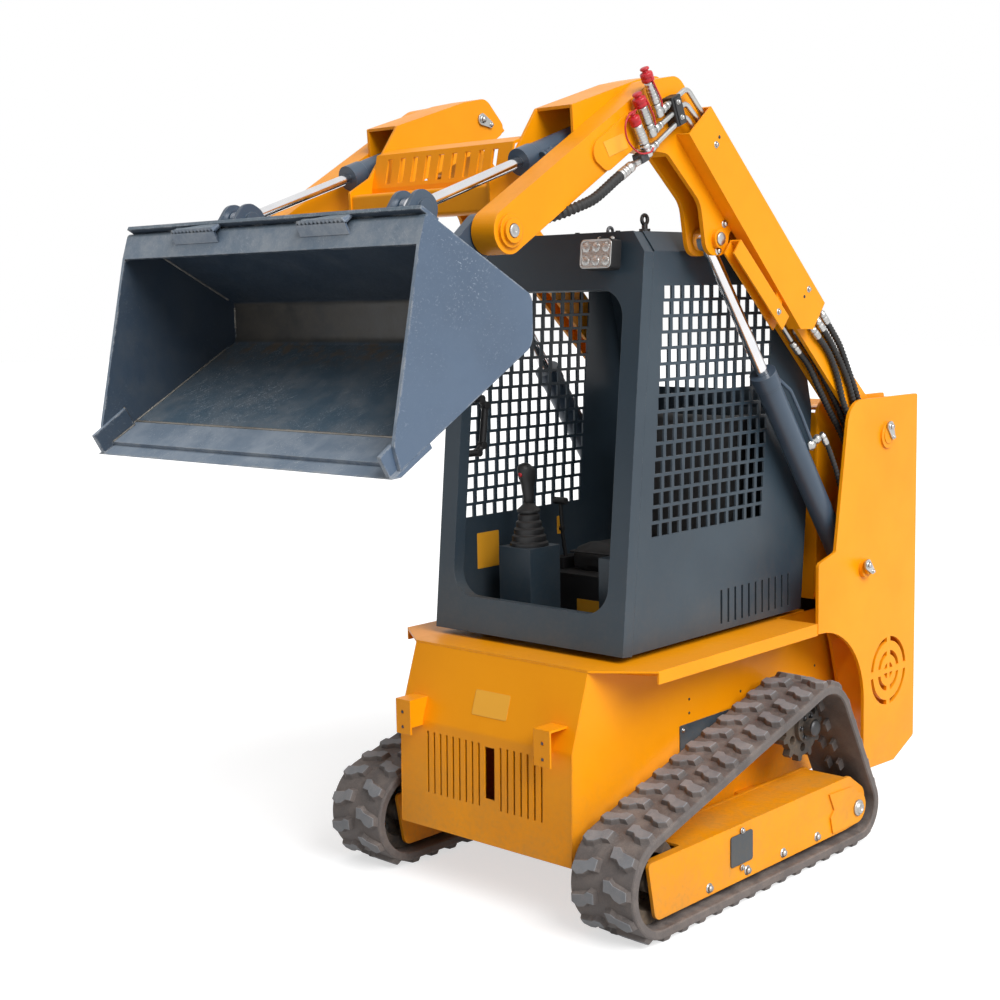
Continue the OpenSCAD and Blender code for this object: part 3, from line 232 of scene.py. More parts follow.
def makeDustGroup():
    tree, given, out, where = newGroup("settledDust", {"Scale": 6, "Top": 0.5, "Low Height": 0.5, "Amount": 0.5},
            ["Mask"])
    normal = tree.nodes.new("ShaderNodeNewGeometry").outputs["Normal"]
    parts = tree.nodes.new("ShaderNodeSeparateXYZ")
    tree.links.new(normal, parts.inputs[0])
    place = tree.nodes.new("ShaderNodeSeparateXYZ")
    tree.links.new(where, place.inputs[0])
    top = calc(tree, "MULTIPLY", ramp(tree, parts.outputs[2], 0.35, 0.95), given["Top"])
    low = calc(tree, "SUBTRACT", 1, ramp(tree, place.outputs[2], 0.02, given["Low Height"]))
    cloud = ramp(tree, noise(tree, where, given["Scale"], 6, 0.62), 0.38, 0.68)
    speck = ramp(tree, noise(tree, where, calc(tree, "MULTIPLY", given["Scale"], 14), 2), 0.42, 0.7)
    both = calc(tree, "ADD", calc(tree, "MULTIPLY", cloud, 0.75), calc(tree, "MULTIPLY", speck, 0.35))
    mask = calc(tree, "MULTIPLY", calc(tree, "ADD", top, low), both)
    tree.links.new(calc(tree, "MULTIPLY", mask, given["Amount"], True), out["Mask"])
    return tree


def makeEdgeGroup():
    tree, given, out, where = newGroup("rubbedEdges", {"Width": 0.004, "Break": 30, "Amount": 0.5}, ["Mask"])
    soft = tree.nodes.new("ShaderNodeBevel")
    soft.samples = 4
    tree.links.new(given["Width"], soft.inputs["Radius"])
    sharp = tree.nodes.new("ShaderNodeNewGeometry").outputs["Normal"]
    same = tree.nodes.new("ShaderNodeVectorMath")
    same.operation = "DOT_PRODUCT"
    tree.links.new(soft.outputs[0], same.inputs[0])
    tree.links.new(sharp, same.inputs[1])
    edge = ramp(tree, calc(tree, "SUBTRACT", 1, same.outputs["Value"]), 0.03, 0.2)
    chips = ramp(tree, noise(tree, where, given["Break"], 5, 0.7), 0.46, 0.6)
    tree.links.new(calc(tree, "MULTIPLY", calc(tree, "MULTIPLY", edge, chips), given["Amount"], True), out["Mask"])
    return tree


def makeGrainGroup():
    tree, given, out, where = newGroup("paintGrain", {"Fine": 420, "Broad": 2.2}, ["Height", "Tone"])
    fine = noise(tree, where, given["Fine"], 2)
    wave = noise(tree, where, calc(tree, "MULTIPLY", given["Broad"], 9), 3)
    tree.links.new(calc(tree, "ADD", calc(tree, "MULTIPLY", fine, 0.35), wave), out["Height"])
    tree.links.new(noise(tree, where, given["Broad"], 5, 0.6), out["Tone"])
    return tree


def makeScuffGroup():
    tree, given, out, where = newGroup("scuffs", {"Scale": 8, "Long": 14, "Cover": 0.5}, ["Mask"])
    lines = None
    for turn in (0.35, -0.6, 1.25):
        spin = tree.nodes.new("ShaderNodeMapping")
        spin.inputs["Rotation"].default_value = (turn, turn * 0.7, turn * 1.3)
        stretch = tree.nodes.new("ShaderNodeVectorMath")
        stretch.operation = "MULTIPLY"
        tree.links.new(where, spin.inputs["Vector"])
        tree.links.new(spin.outputs[0], stretch.inputs[0])
        size = tree.nodes.new("ShaderNodeCombineXYZ")
        tree.links.new(given["Long"], size.inputs[0])
        size.inputs[1].default_value = 1
        tree.links.new(given["Long"], size.inputs[2])
        tree.links.new(size.outputs[0], stretch.inputs[1])
        streak = ramp(tree, noise(tree, stretch.outputs[0], given["Scale"], 4, 0.6), 0.6, 0.72)
        lines = streak if lines is None else calc(tree, "MAXIMUM", lines, streak)
    patch = ramp(tree, noise(tree, where, given["Scale"], 4),
            calc(tree, "SUBTRACT", 0.8, calc(tree, "MULTIPLY", given["Cover"], 0.5)), 0.85)
    tree.links.new(calc(tree, "MULTIPLY", lines, patch, True), out["Mask"])
    return tree


groups = {"dust": makeDustGroup(), "edge": makeEdgeGroup(), "grain": makeGrainGroup(), "scuff": makeScuffGroup()}


def useGroup(tree, key, **values):
    n = tree.nodes.new("ShaderNodeGroup")
    n.node_tree = groups[key]
    for label, value in values.items():
        socketIn(tree, value, n.inputs[label.replace("_", " ")])
    return n.outputs


def newMaterial(name, metallic=0.0):
    mat = bpy.data.materials.new(name)
    mat.use_nodes = True
    bsdf = mat.node_tree.nodes["Principled BSDF"]
    bsdf.inputs["Metallic"].default_value = metallic
    return mat, mat.node_tree, bsdf


def addBump(tree, bsdf, height, strength, distance, round_=0.0):
    bump = tree.nodes.new("ShaderNodeBump")
    bump.inputs["Strength"].default_value = strength
    bump.inputs["Distance"].default_value = distance
    tree.links.new(height, bump.inputs["Height"])
    if round_:
        soft = tree.nodes.new("ShaderNodeBevel")
        soft.samples = 4
        soft.inputs["Radius"].default_value = round_
        tree.links.new(soft.outputs[0], bump.inputs["Normal"])
    tree.links.new(bump.outputs[0], bsdf.inputs["Normal"])


# sprayed paint over steel: broad tone, rubbed edges, scuffs and dust
def sprayPaint(name, base, shade, worn, dust, rough=0.34, edge=0.5, dustAmount=0.5, top=0.5, low=0.45, scuff=0.3,
        scuffTone=None, gloss=0.5):
    mat, tree, bsdf = newMaterial(name)
    bsdf.inputs["Specular IOR Level"].default_value = gloss
    grain = useGroup(tree, "grain")
    tone = ramp(tree, grain["Tone"], 0.3, 0.72)
    colour = blendColour(tree, tone, base, shade)
    marks = useGroup(tree, "scuff", Scale=5.0, Cover=0.55)["Mask"]
    colour = blendColour(tree, calc(tree, "MULTIPLY", marks, scuff), colour, scuffTone or shade)
    rub = useGroup(tree, "edge", Width=0.0035, Break=34.0, Amount=edge)["Mask"]
    colour = blendColour(tree, rub, colour, worn)
    film = useGroup(tree, "dust", Scale=5.0, Top=top, Low_Height=low, Amount=dustAmount)["Mask"]
    colour = blendColour(tree, film, colour, dust)
    tree.links.new(colour, bsdf.inputs["Base Color"])
    dull = calc(tree, "ADD", calc(tree, "MULTIPLY", film, 0.45), calc(tree, "MULTIPLY", marks, 0.15))
    tree.links.new(calc(tree, "ADD", calc(tree, "ADD", dull, rough), calc(tree, "MULTIPLY", tone, 0.06), True),
            bsdf.inputs["Roughness"])
    addBump(tree, bsdf, grain["Height"], 0.12, 0.0012, 0.0022)
    return mat


yellowPaint = sprayPaint("yellowPaint", (0.94, 0.345, 0.002), (0.87, 0.300, 0.002), (0.42, 0.20, 0.06), (0.44, 0.25,
0.08),
                         edge=0.35, dustAmount=0.5, top=0.3, low=0.5, scuff=0.18, scuffTone=(0.62, 0.28, 0.04),
                         gloss=0.2)
slatePaint = sprayPaint("slatePaint", (0.037, 0.058, 0.078), (0.028, 0.044, 0.061), (0.15, 0.17, 0.19), (0.13, 0.115,
0.095),
                        rough=0.33, edge=0.4, dustAmount=0.6, top=0.4, low=1.25, scuff=0.4, scuffTone=(0.075, 0.09,
                        0.105), gloss=0.34)
blackPlastic = sprayPaint("blackPlastic", (0.012, 0.012, 0.013), (0.020, 0.020, 0.021), (0.06, 0.06, 0.06), (0.12,
0.105, 0.09),
                          rough=0.48, edge=0.3, dustAmount=0.35, top=0.5, low=0.2, scuff=0.2, scuffTone=(0.05, 0.05,
                          0.05))
castIron = sprayPaint("castIron", (0.040, 0.037, 0.035), (0.022, 0.021, 0.021), (0.20, 0.17, 0.14), (0.17, 0.125,
0.085),
                      rough=0.55, edge=0.6, dustAmount=1.0, top=0.6, low=0.9, scuff=0.5, scuffTone=(0.10, 0.08, 0.06))
barrelPaint = sprayPaint("barrelPaint", (0.055, 0.085, 0.125), (0.042, 0.066, 0.100), (0.20, 0.22, 0.24), (0.17, 0.15,
0.12),
                         rough=0.32, edge=0.45, dustAmount=0.4, top=0.4, low=0.2, scuff=0.35, scuffTone=(0.12, 0.15,
                         0.19))
redPlastic = sprayPaint("redPlastic", (0.56, 0.012, 0.022), (0.44, 0.010, 0.018), (0.66, 0.12, 0.10), (0.45, 0.20,
0.15),
                        rough=0.32, edge=0.25, dustAmount=0.2, scuff=0.2, scuffTone=(0.65, 0.10, 0.09))
plateYellow = sprayPaint("plateYellow", (0.90, 0.42, 0.025), (0.84, 0.38, 0.022), (0.62, 0.40, 0.12), (0.45, 0.32,
0.16),
                         rough=0.38, edge=0.3, dustAmount=0.35, scuff=0.2, scuffTone=(0.66, 0.40, 0.08))


# bare or plated metal
def plainMetal(name, base, shade, rough, dustAmount=0.3, brushed=0.0):
    mat, tree, bsdf = newMaterial(name, 1.0)
    grain = useGroup(tree, "grain", Fine=600.0, Broad=6.0)
    colour = blendColour(tree, ramp(tree, grain["Tone"], 0.3, 0.7), base, shade)
    film = useGroup(tree, "dust", Scale=14.0, Top=0.4, Low_Height=0.4, Amount=dustAmount)["Mask"]
    colour = blendColour(tree, film, colour, (0.26, 0.21, 0.15))
    tree.links.new(colour, bsdf.inputs["Base Color"])
    tree.links.new(calc(tree, "SUBTRACT", 1, calc(tree, "MULTIPLY", film, 0.9), True), bsdf.inputs["Metallic"])
    tree.links.new(calc(tree, "ADD", calc(tree, "MULTIPLY", film, 0.5),
            calc(tree, "ADD", rough, calc(tree, "MULTIPLY", grain["Tone"], 0.1)), True), bsdf.inputs["Roughness"])
    addBump(tree, bsdf, grain["Height"], brushed, 0.0006, 0.0012)
    return mat


chromeRod = plainMetal("chromeRod", (0.80, 0.80, 0.81), (0.70, 0.70, 0.72), 0.08, 0.15, 0.02)
zincSteel = plainMetal("zincSteel", (0.58, 0.58, 0.57), (0.42, 0.42, 0.41), 0.30, 0.35, 0.10)
weldSteel = plainMetal("weldSteel", (0.30, 0.285, 0.26), (0.19, 0.18, 0.165), 0.5, 0.5, 0.2)
oiledSteel = plainMetal("oiledSteel", (0.10, 0.10, 0.105), (0.06, 0.06, 0.06), 0.42, 0.3, 0.12)


# worn bucket: slate paint outside, darkened inside by painted shade and scoured, bare towards the lip
bucketFinish = dict(tip=(-1336.3, 1253.7), slope=(0.8634, 0.5045), rise=(-0.5045, 0.8634), roof=(-0.475, -0.880))


def dotYZ(tree, parts, d):
    return calc(tree, "ADD", calc(tree, "MULTIPLY", parts[1], d[0]), calc(tree, "MULTIPLY", parts[2], d[1]))


def makeBucketSteel():
    mat, tree, bsdf = newMaterial("bucketSteel")
    f = bucketFinish
    where = tree.nodes.new("ShaderNodeTexCoord").outputs["Object"]
    place = tree.nodes.new("ShaderNodeSeparateXYZ")
    tree.links.new(where, place.inputs[0])
    facing = tree.nodes.new("ShaderNodeSeparateXYZ")
    tree.links.new(tree.nodes.new("ShaderNodeNewGeometry").outputs["Normal"], facing.inputs[0])
    grain = useGroup(tree, "grain", Broad=3.0)
    outside = blendColour(tree, ramp(tree, grain["Tone"], 0.3, 0.7), (0.085, 0.128, 0.195), (0.066, 0.101, 0.157))
    marks = useGroup(tree, "scuff", Scale=6.0, Long=30.0, Cover=0.8)["Mask"]
    outside = blendColour(tree, calc(tree, "MULTIPLY", marks, 1.3, True), outside, (0.24, 0.29, 0.36))
    smear = ramp(tree, noise(tree, where, 10, 10, 0.78), 0.38, 0.68)
    brow = calc(tree, "MULTIPLY", ramp(tree, calc(tree, "MULTIPLY", facing.outputs[1], -1), 0.5, 0.9),
                calc(tree, "SUBTRACT", 1, ramp(tree, place.outputs[1], at(0, -1215, 0).y, at(0, -1200, 0).y)))
    outside = blendColour(tree, brow, outside, blendColour(tree, calc(tree, "MAXIMUM", marks, smear),
            (0.145, 0.195, 0.265), (0.34, 0.38, 0.43)))
    # faces that look into the bucket: painted shade darkens them, standing in for the shade inside
    toMiddle = calc(tree, "MULTIPLY", calc(tree, "SIGN", place.outputs[0]), facing.outputs[0])
    cheeks = ramp(tree, calc(tree, "MULTIPLY", toMiddle, -1), 0.7, 0.9)
    roof = ramp(tree, dotYZ(tree, facing.outputs, f["roof"]), 0.8, 0.95)
    deep = ramp(tree, place.outputs[1], at(0, -1100, 0).y, at(0, -1000, 0).y)
    back = calc(tree, "MULTIPLY", ramp(tree, calc(tree, "MULTIPLY", facing.outputs[1], -1), 0.6, 0.9), deep)
    shade = calc(tree, "MAXIMUM", cheeks, calc(tree, "MAXIMUM", roof, back))
    # painted shade colour for the inside, varied by the smear noise, with pale scratches laid over it
    paintedInsideShade = blendColour(tree, smear, (0.026, 0.040, 0.060), (0.036, 0.046, 0.058))
    paintedInsideShade = blendColour(tree, calc(tree, "MULTIPLY", marks, 0.35), paintedInsideShade, (0.15, 0.17, 0.19))
    colour = blendColour(tree, calc(tree, "MULTIPLY", shade, 0.85), outside, paintedInsideShade)
    tan = blendColour(tree, smear, (0.062, 0.056, 0.046), (0.105, 0.090, 0.070))
    colour = blendColour(tree, calc(tree, "MULTIPLY", back, 0.8), colour, tan)
    # the floor: scoured blue-grey, tan in the rear corner, paler on the edge plate
    bed = ramp(tree, dotYZ(tree, facing.outputs, f["rise"]), 0.6, 0.9)
    tip = at(0, *f["tip"])
    along = calc(tree, "SUBTRACT", dotYZ(tree, place.outputs, f["slope"]),
            tip.y * f["slope"][0] + tip.z * f["slope"][1])
    streaks = useGroup(tree, "scuff", Scale=9.0, Long=34.0, Cover=1.0)["Mask"]
    floor = blendColour(tree, smear, (0.064, 0.105, 0.145), (0.125, 0.150, 0.175))
    floor = blendColour(tree, calc(tree, "MULTIPLY", streaks, 2.2, True), floor, (0.34, 0.38, 0.42))
    rust = calc(tree, "MULTIPLY", ramp(tree, along, 0.36, 0.47),
            ramp(tree, noise(tree, where, 16, 6, 0.7), 0.45, 0.6))
    floor = blendColour(tree, calc(tree, "MULTIPLY", rust, 0.8), floor, (0.17, 0.125, 0.085))
    lip = ramp(tree, calc(tree, "MULTIPLY", along, -1), -0.132, -0.126)
    worn = calc(tree, "MAXIMUM", calc(tree, "MULTIPLY", streaks, 2.0, True), calc(tree, "MULTIPLY", smear, 0.45))
    lipTone = blendColour(tree, calc(tree, "MULTIPLY", worn, 0.8), (0.160, 0.210, 0.275), (0.42, 0.45, 0.49))
    floor = blendColour(tree, lip, floor, lipTone)
    colour = blendColour(tree, calc(tree, "MULTIPLY", bed, calc(tree, "SUBTRACT", 1, shade)), colour, floor)
    rub = useGroup(tree, "edge", Width=0.009, Break=22.0, Amount=0.9)["Mask"]
    colour = blendColour(tree, rub, colour, (0.34, 0.36, 0.38))
    tree.links.new(colour, bsdf.inputs["Base Color"])
    rough = calc(tree, "ADD", 0.38, calc(tree, "ADD", calc(tree, "MULTIPLY", smear, 0.2),
            calc(tree, "MULTIPLY", marks, -0.1)))
    tree.links.new(rough, bsdf.inputs["Roughness"])
    addBump(tree, bsdf, calc(tree, "ADD", grain["Height"], calc(tree, "MULTIPLY", streaks, -0.6)), 0.2, 0.0015, 0.003)
    return mat


bucketSteel = makeBucketSteel()


# rubber: carcass, lug tops, smooth hose
def makeRubber(name, base, shade, dust, dustAmount, bump=0.35, fine=160.0):
    mat, tree, bsdf = newMaterial(name)
    grain = useGroup(tree, "grain", Fine=fine, Broad=7.0)
    colour = blendColour(tree, ramp(tree, grain["Tone"], 0.3, 0.7), base, shade)
    film = useGroup(tree, "dust", Scale=16.0, Top=0.7, Low_Height=1.4, Amount=dustAmount)["Mask"]
    colour = blendColour(tree, film, colour, dust)
    rub = useGroup(tree, "edge", Width=0.005, Break=40.0, Amount=0.4)["Mask"]
    colour = blendColour(tree, rub, colour, dust)
    tree.links.new(colour, bsdf.inputs["Base Color"])
    tree.links.new(calc(tree, "ADD", 0.62, calc(tree, "MULTIPLY", film, 0.3), True), bsdf.inputs["Roughness"])
    addBump(tree, bsdf, grain["Height"], bump, 0.0015)
    return mat


carcassRubber = makeRubber("carcassRubber", (0.116, 0.100, 0.095), (0.076, 0.066, 0.063), (0.20, 0.168, 0.150), 0.7)
lugRubber = makeRubber("lugRubber", (0.205, 0.212, 0.225), (0.150, 0.156, 0.168), (0.31, 0.285, 0.275), 0.45)
hoseRubber = makeRubber("hoseRubber", (0.014, 0.014, 0.015), (0.024, 0.024, 0.024), (0.12, 0.105, 0.09), 0.25, 0.2,
        300.0)
vinyl = makeRubber("vinyl", (0.016, 0.016, 0.017), (0.026, 0.026, 0.027), (0.11, 0.10, 0.085), 0.2, 0.5, 260.0)


def makeLens():
    mat, tree, bsdf = newMaterial("lampLens")
    where = tree.nodes.new("ShaderNodeTexCoord").outputs["Object"]
    facet = tree.nodes.new("ShaderNodeTexVoronoi")
    facet.inputs["Scale"].default_value = 420
    tree.links.new(where, facet.inputs["Vector"])
    tree.links.new(blendColour(tree, facet.outputs["Distance"], (0.80, 0.80, 0.78), (0.30, 0.30, 0.29)),
            bsdf.inputs["Base Color"])
    bsdf.inputs["Metallic"].default_value = 0.6
    bsdf.inputs["Roughness"].default_value = 0.12
    bsdf.inputs["Coat Weight"].default_value = 0.8
    addBump(tree, bsdf, facet.outputs["Distance"], 0.4, 0.002)
    return mat


lampLens = makeLens()

finish = {
    "paint": yellowPaint, "slate": slatePaint, "bucket": bucketSteel, "rubber": carcassRubber, "running_gear": castIron,
    "rod": chromeRod, "steel": zincSteel, "trim": blackPlastic, "seat": vinyl, "engine": castIron, "cap": redPlastic,
}
for part in frame["record"]["subparts"]:
    mesh = nodes[part["node"]].data
    mesh.materials.clear()
    mesh.materials.append(finish[part["material_slot"]])
nodes["lifting_eyes"].data.materials[0] = oiledSteel
for node in ("lift_barrels", "tilt_barrels", "hitch"):
    nodes[node].data.materials[0] = barrelPaint
print("finishes on", len(nodes), "nodes")


# geometry node trees for what repeats: bolts, hoses, weld beads, tread lugs
def geoTree(name, inputs):
    tree = bpy.data.node_groups.new(name, "GeometryNodeTree")
    tree.interface.new_socket("Geometry", in_out="INPUT", socket_type="NodeSocketGeometry")
    for label, (kind, value) in inputs.items():
        s = tree.interface.new_socket(label, in_out="INPUT", socket_type=kind)
        if value is not None:
            s.default_value = value
    tree.interface.new_socket("Geometry", in_out="OUTPUT", socket_type="NodeSocketGeometry")
    return tree, tree.nodes.new("NodeGroupInput"), tree.nodes.new("NodeGroupOutput")


def geo(tree, kind, mode=None, **values):
    n = tree.nodes.new(kind)
    if mode:
        n.mode = mode
    for label, value in values.items():
        socketIn(tree, value, n.inputs[label.replace("_", " ")])
    return n


def closeTree(tree, start, end, geometry, smooth=True):
    real = geo(tree, "GeometryNodeRealizeInstances", Geometry=geometry)
    flat = geo(tree, "GeometryNodeSetShadeSmooth", Geometry=real.outputs[0], Shade_Smooth=smooth)
    done = geo(tree, "GeometryNodeSetMaterial", Geometry=flat.outputs[0], Material=start.outputs["Material"])
    tree.links.new(done.outputs[0], end.inputs[0])


def makeBoltTree():
    tree, start, end = geoTree("boltHeads", {
        "Radius": ("NodeSocketFloat", 0.008), "Height": ("NodeSocketFloat", 0.006), "Sides": ("NodeSocketInt", 6),
        "Washer": ("NodeSocketFloat", 1.5), "Material": ("NodeSocketMaterial", None)})
    facing = tree.nodes.new("GeometryNodeInputNamedAttribute")
    facing.data_type = "FLOAT_VECTOR"
    facing.inputs["Name"].default_value = "facing"
    turned = geo(tree, "FunctionNodeAlignRotationToVector", Vector=facing.outputs[0])
    turned.axis = "Z"
    head = geo(tree, "GeometryNodeMeshCylinder", Vertices=start.outputs["Sides"], Radius=start.outputs["Radius"],
            Depth=start.outputs["Height"])
    half = calc(tree, "MULTIPLY", start.outputs["Height"], 0.62)
    lift = tree.nodes.new("ShaderNodeCombineXYZ")
    tree.links.new(half, lift.inputs[2])
    raised = geo(tree, "GeometryNodeTransform", Geometry=head.outputs["Mesh"], Translation=lift.outputs[0])
    wide = calc(tree, "MULTIPLY", start.outputs["Radius"], start.outputs["Washer"])
    thin = calc(tree, "MULTIPLY", start.outputs["Height"], 0.4)
    washer = geo(tree, "GeometryNodeMeshCylinder", Vertices=20, Radius=wide, Depth=thin)
    both = tree.nodes.new("GeometryNodeJoinGeometry")
    tree.links.new(raised.outputs[0], both.inputs[0])
    tree.links.new(washer.outputs["Mesh"], both.inputs[0])
    placed = geo(tree, "GeometryNodeInstanceOnPoints", Points=start.outputs["Geometry"], Instance=both.outputs[0],
            Rotation=turned.outputs[0])
    closeTree(tree, start, end, placed.outputs[0])
    return tree


def makeHoseTree():
    tree, start, end = geoTree("wrappedHose", {
        "Radius": ("NodeSocketFloat", 0.009), "Rib": ("NodeSocketFloat", 0.12), "Pitch": ("NodeSocketFloat", 0.012),
        "Step": ("NodeSocketFloat", 0.003), "Sides": ("NodeSocketInt", 14), "Material": ("NodeSocketMaterial", None)})
    line = geo(tree, "GeometryNodeMeshToCurve", Mesh=start.outputs["Geometry"])
    even = geo(tree, "GeometryNodeResampleCurve", "LENGTH", Curve=line.outputs[0], Length=start.outputs["Step"])
    along = tree.nodes.new("GeometryNodeSplineParameter")
    turns = calc(tree, "DIVIDE", along.outputs["Length"], start.outputs["Pitch"])
    wave = calc(tree, "SINE", calc(tree, "MULTIPLY", turns, 2 * math.pi))
    size = calc(tree, "ADD", 1, calc(tree, "MULTIPLY", wave, start.outputs["Rib"]))
    ring = geo(tree, "GeometryNodeCurvePrimitiveCircle", Resolution=start.outputs["Sides"],
            Radius=start.outputs["Radius"])
    skin = geo(tree, "GeometryNodeCurveToMesh", Profile_Curve=ring.outputs[0], Fill_Caps=True)
    if "Scale" in skin.inputs:
        tree.links.new(even.outputs[0], skin.inputs["Curve"])
        tree.links.new(size, skin.inputs["Scale"])
    else:
        sized = geo(tree, "GeometryNodeSetCurveRadius", Curve=even.outputs[0], Radius=size)
        tree.links.new(sized.outputs[0], skin.inputs["Curve"])
    closeTree(tree, start, end, skin.outputs[0])
    return tree


def makeBeadTree():
    tree, start, end = geoTree("weldBeads", {
        "Radius": ("NodeSocketFloat", 0.004), "Pitch": ("NodeSocketFloat", 0.004), "Seed": ("NodeSocketInt", 4),
        "Material": ("NodeSocketMaterial", None)})
    line = geo(tree, "GeometryNodeMeshToCurve", Mesh=start.outputs["Geometry"])
    dots = geo(tree, "GeometryNodeCurveToPoints", "LENGTH", Curve=line.outputs[0], Length=start.outputs["Pitch"])
    ball = geo(tree, "GeometryNodeMeshIcoSphere", Radius=start.outputs["Radius"], Subdivisions=1)
    vary = tree.nodes.new("FunctionNodeRandomValue")
    vary.data_type = "FLOAT"
    floats = [s for s in vary.inputs if s.type == "VALUE"]
    floats[0].default_value, floats[1].default_value = 0.75, 1.15
    tree.links.new(start.outputs["Seed"], vary.inputs["Seed"])
    amount = [s for s in vary.outputs if s.type == "VALUE"][0]
    placed = geo(tree, "GeometryNodeInstanceOnPoints", Points=dots.outputs[0], Instance=ball.outputs[0], Scale=amount)
    closeTree(tree, start, end, placed.outputs[0])
    return tree


def makeLugTree():
    tree, start, end = geoTree("treadLugs", {"Lug": ("NodeSocketObject", None),
            "Material": ("NodeSocketMaterial", None)})
    turn = None
    for label, axis in (("facing", "Z"), ("across", "X")):
        given = tree.nodes.new("GeometryNodeInputNamedAttribute")
        given.data_type = "FLOAT_VECTOR"
        given.inputs["Name"].default_value = label
        aim = geo(tree, "FunctionNodeAlignRotationToVector", Vector=given.outputs[0])
        aim.axis = axis
        if turn:
            aim.pivot_axis = "Z"
            tree.links.new(turn, aim.inputs["Rotation"])
        turn = aim.outputs[0]
    lug = geo(tree, "GeometryNodeObjectInfo", Object=start.outputs["Lug"])
    placed = geo(tree, "GeometryNodeInstanceOnPoints", Points=start.outputs["Geometry"],
            Instance=lug.outputs["Geometry"], Rotation=turn)
    closeTree(tree, start, end, placed.outputs[0], False)
    return tree


trees = {"bolt": makeBoltTree(), "hose": makeHoseTree(), "bead": makeBeadTree(), "lug": makeLugTree()}


def linked(name, mesh):
    piece = bpy.data.objects.new(name, mesh)
    scene.collection.objects.link(piece)
    return piece


def meshFrom(bm, name):
    bmesh.ops.recalc_face_normals(bm, faces=bm.faces)
    mesh = bpy.data.meshes.new(name)
    bm.to_mesh(mesh)
    bm.free()
    return mesh


# faces between rings of equal length
def skinRings(bm, rings):
    n = len(rings[0])
    for a, b in zip(rings, rings[1:]):
        for k in range(n):
            bm.faces.new((a[k], a[(k + 1) % n], b[(k + 1) % n], b[k]))


# runs a tree on a base mesh and keeps the plain result
def grow(name, base, key, **values):
    raw = linked(name + "Base", base)
    mod = raw.modifiers.new("grow", "NODES")
    mod.node_group = trees[key]
    for item in trees[key].interface.items_tree:
        if item.in_out == "INPUT" and item.name in values:
            mod[item.identifier] = values[item.name]
    bpy.context.view_layer.update()
    mesh = bpy.data.meshes.new_from_object(raw.evaluated_get(bpy.context.evaluated_depsgraph_get()))
    bpy.data.objects.remove(raw)
    mesh.name = name
    return linked(name, mesh)


def bolts(name, spots, body, radius=8, height=6, sides=6, washer=1.5, material=None):
    base = bpy.data.meshes.new(name + "Spots")
    base.from_pydata([tuple(at(*p)) for p, _ in spots], [], [])
    facing = base.attributes.new("facing", "FLOAT_VECTOR", "POINT")
    for i, (_, d) in enumerate(spots):
        facing.data[i].vector = d
    material = material or zincSteel
    piece = grow(name, base, "bolt", Radius=radius / 1000, Height=height / 1000, Sides=sides, Washer=washer,
            Material=material)
    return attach(piece, body)


# smooth line through points in machine millimetres
def smoothLine(points, steps=10):
    pts = [at(*p) for p in points]
    ends = [2 * pts[0] - pts[1]] + pts + [2 * pts[-1] - pts[-2]]
    line = []
    for i in range(1, len(ends) - 2):
        p0, p1, p2, p3 = ends[i - 1:i + 3]
        for k in range(steps):
            t = k / steps
            line.append(0.5 * (2 * p1 + (p2 - p0) * t + (2 * p0 - 5 * p1 + 4 * p2 - p3) * t * t + (3 * p1 - p0 - 3 * p2 + p3) * t ** 3))
    return line + [pts[-1]]


def lineMesh(name, lines):
    base = bpy.data.meshes.new(name + "Line")
    verts, edges = [], []
    for line in lines:
        first = len(verts)
        verts += [tuple(p) for p in line]
        edges += [(first + i, first + i + 1) for i in range(len(line) - 1)]
    base.from_pydata(verts, edges, [])
    return base


def tubes(name, runs, radius, material, rib=0.0, pitch=12, step=4, straight=False):
    lines = [[at(*p) for p in run] if straight else smoothLine(run) for run in runs]
    piece = grow(name, lineMesh(name, lines), "hose", Radius=radius / 1000, Rib=rib, Pitch=pitch / 1000,
            Step=step / 1000, Material=material)
    return piece


# straight pipe runs joined by round bends
def bentLine(points, radius, steps=7):
    pts = [Vector(p) for p in points]
    line = [pts[0]]
    for a, b, c in zip(pts, pts[1:], pts[2:]):
        u, v = (a - b).normalized(), (c - b).normalized()
        half = u.angle(v) / 2
        reach = min(radius / math.tan(half), (a - b).length * 0.49, (c - b).length * 0.49)
        first, last = b + u * reach, b + v * reach
        for k in range(steps + 1):
            t = k / steps
            line.append((1 - t) ** 2 * first + 2 * t * (1 - t) * b + t * t * last)
    return [tuple(q) for q in line] + [tuple(pts[-1])]


def pipes(name, runs, radius, bend, body, material=None):
    piece = tubes(name, [bentLine(run, bend) for run in runs], radius, material or zincSteel, 0.0, 12, 5, True)
    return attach(piece, body)


# hexagon nut or crimped sleeve on a line, by its place along it
def nut(name, spot, axis, radius, length, body, sides=6, material=None):
    r = radius
    profile = [(r * 0.86, 0), (r, length * 0.08), (r, length * 0.92), (r * 0.86, length)]
    return turned(name, spot, axis, profile, body, material or zincSteel, "steel", sides)


def welds(name, runs, body, radius=3.5, material=None):
    lines = [[at(*p) for p in run] for run in runs]
    piece = grow(name, lineMesh(name, lines), "bead", Radius=radius / 1000, Pitch=radius * 1.1 / 1000,
            Material=material or yellowPaint)
    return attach(piece, body)


# flat plate: outline in a plane, given thickness and a small bevel
def plate(name, corners, push, body, material, bevel=0.8):
    pts = [at(*c) for c in corners]
    push = Vector(push) / 1000
    mesh = bpy.data.meshes.new(name)
    n = len(pts)
    faces = [tuple(range(n))[::-1], tuple(range(n, 2 * n))] + [(i, (i + 1) % n, n + (i + 1) % n,
            n + i) for i in range(n)]
    mesh.from_pydata([tuple(p) for p in pts] + [tuple(p + push) for p in pts], [], faces)
    bm = bmesh.new()
    bm.from_mesh(mesh)
    bmesh.ops.recalc_face_normals(bm, faces=bm.faces)
    if bevel:
        bmesh.ops.bevel(bm, geom=bm.edges[:], offset=bevel / 1000, segments=2, affect="EDGES", profile=0.6)
    bm.to_mesh(mesh)
    bm.free()
    mesh.materials.append(material)
    piece = linked(name, mesh)
    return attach(piece, body)


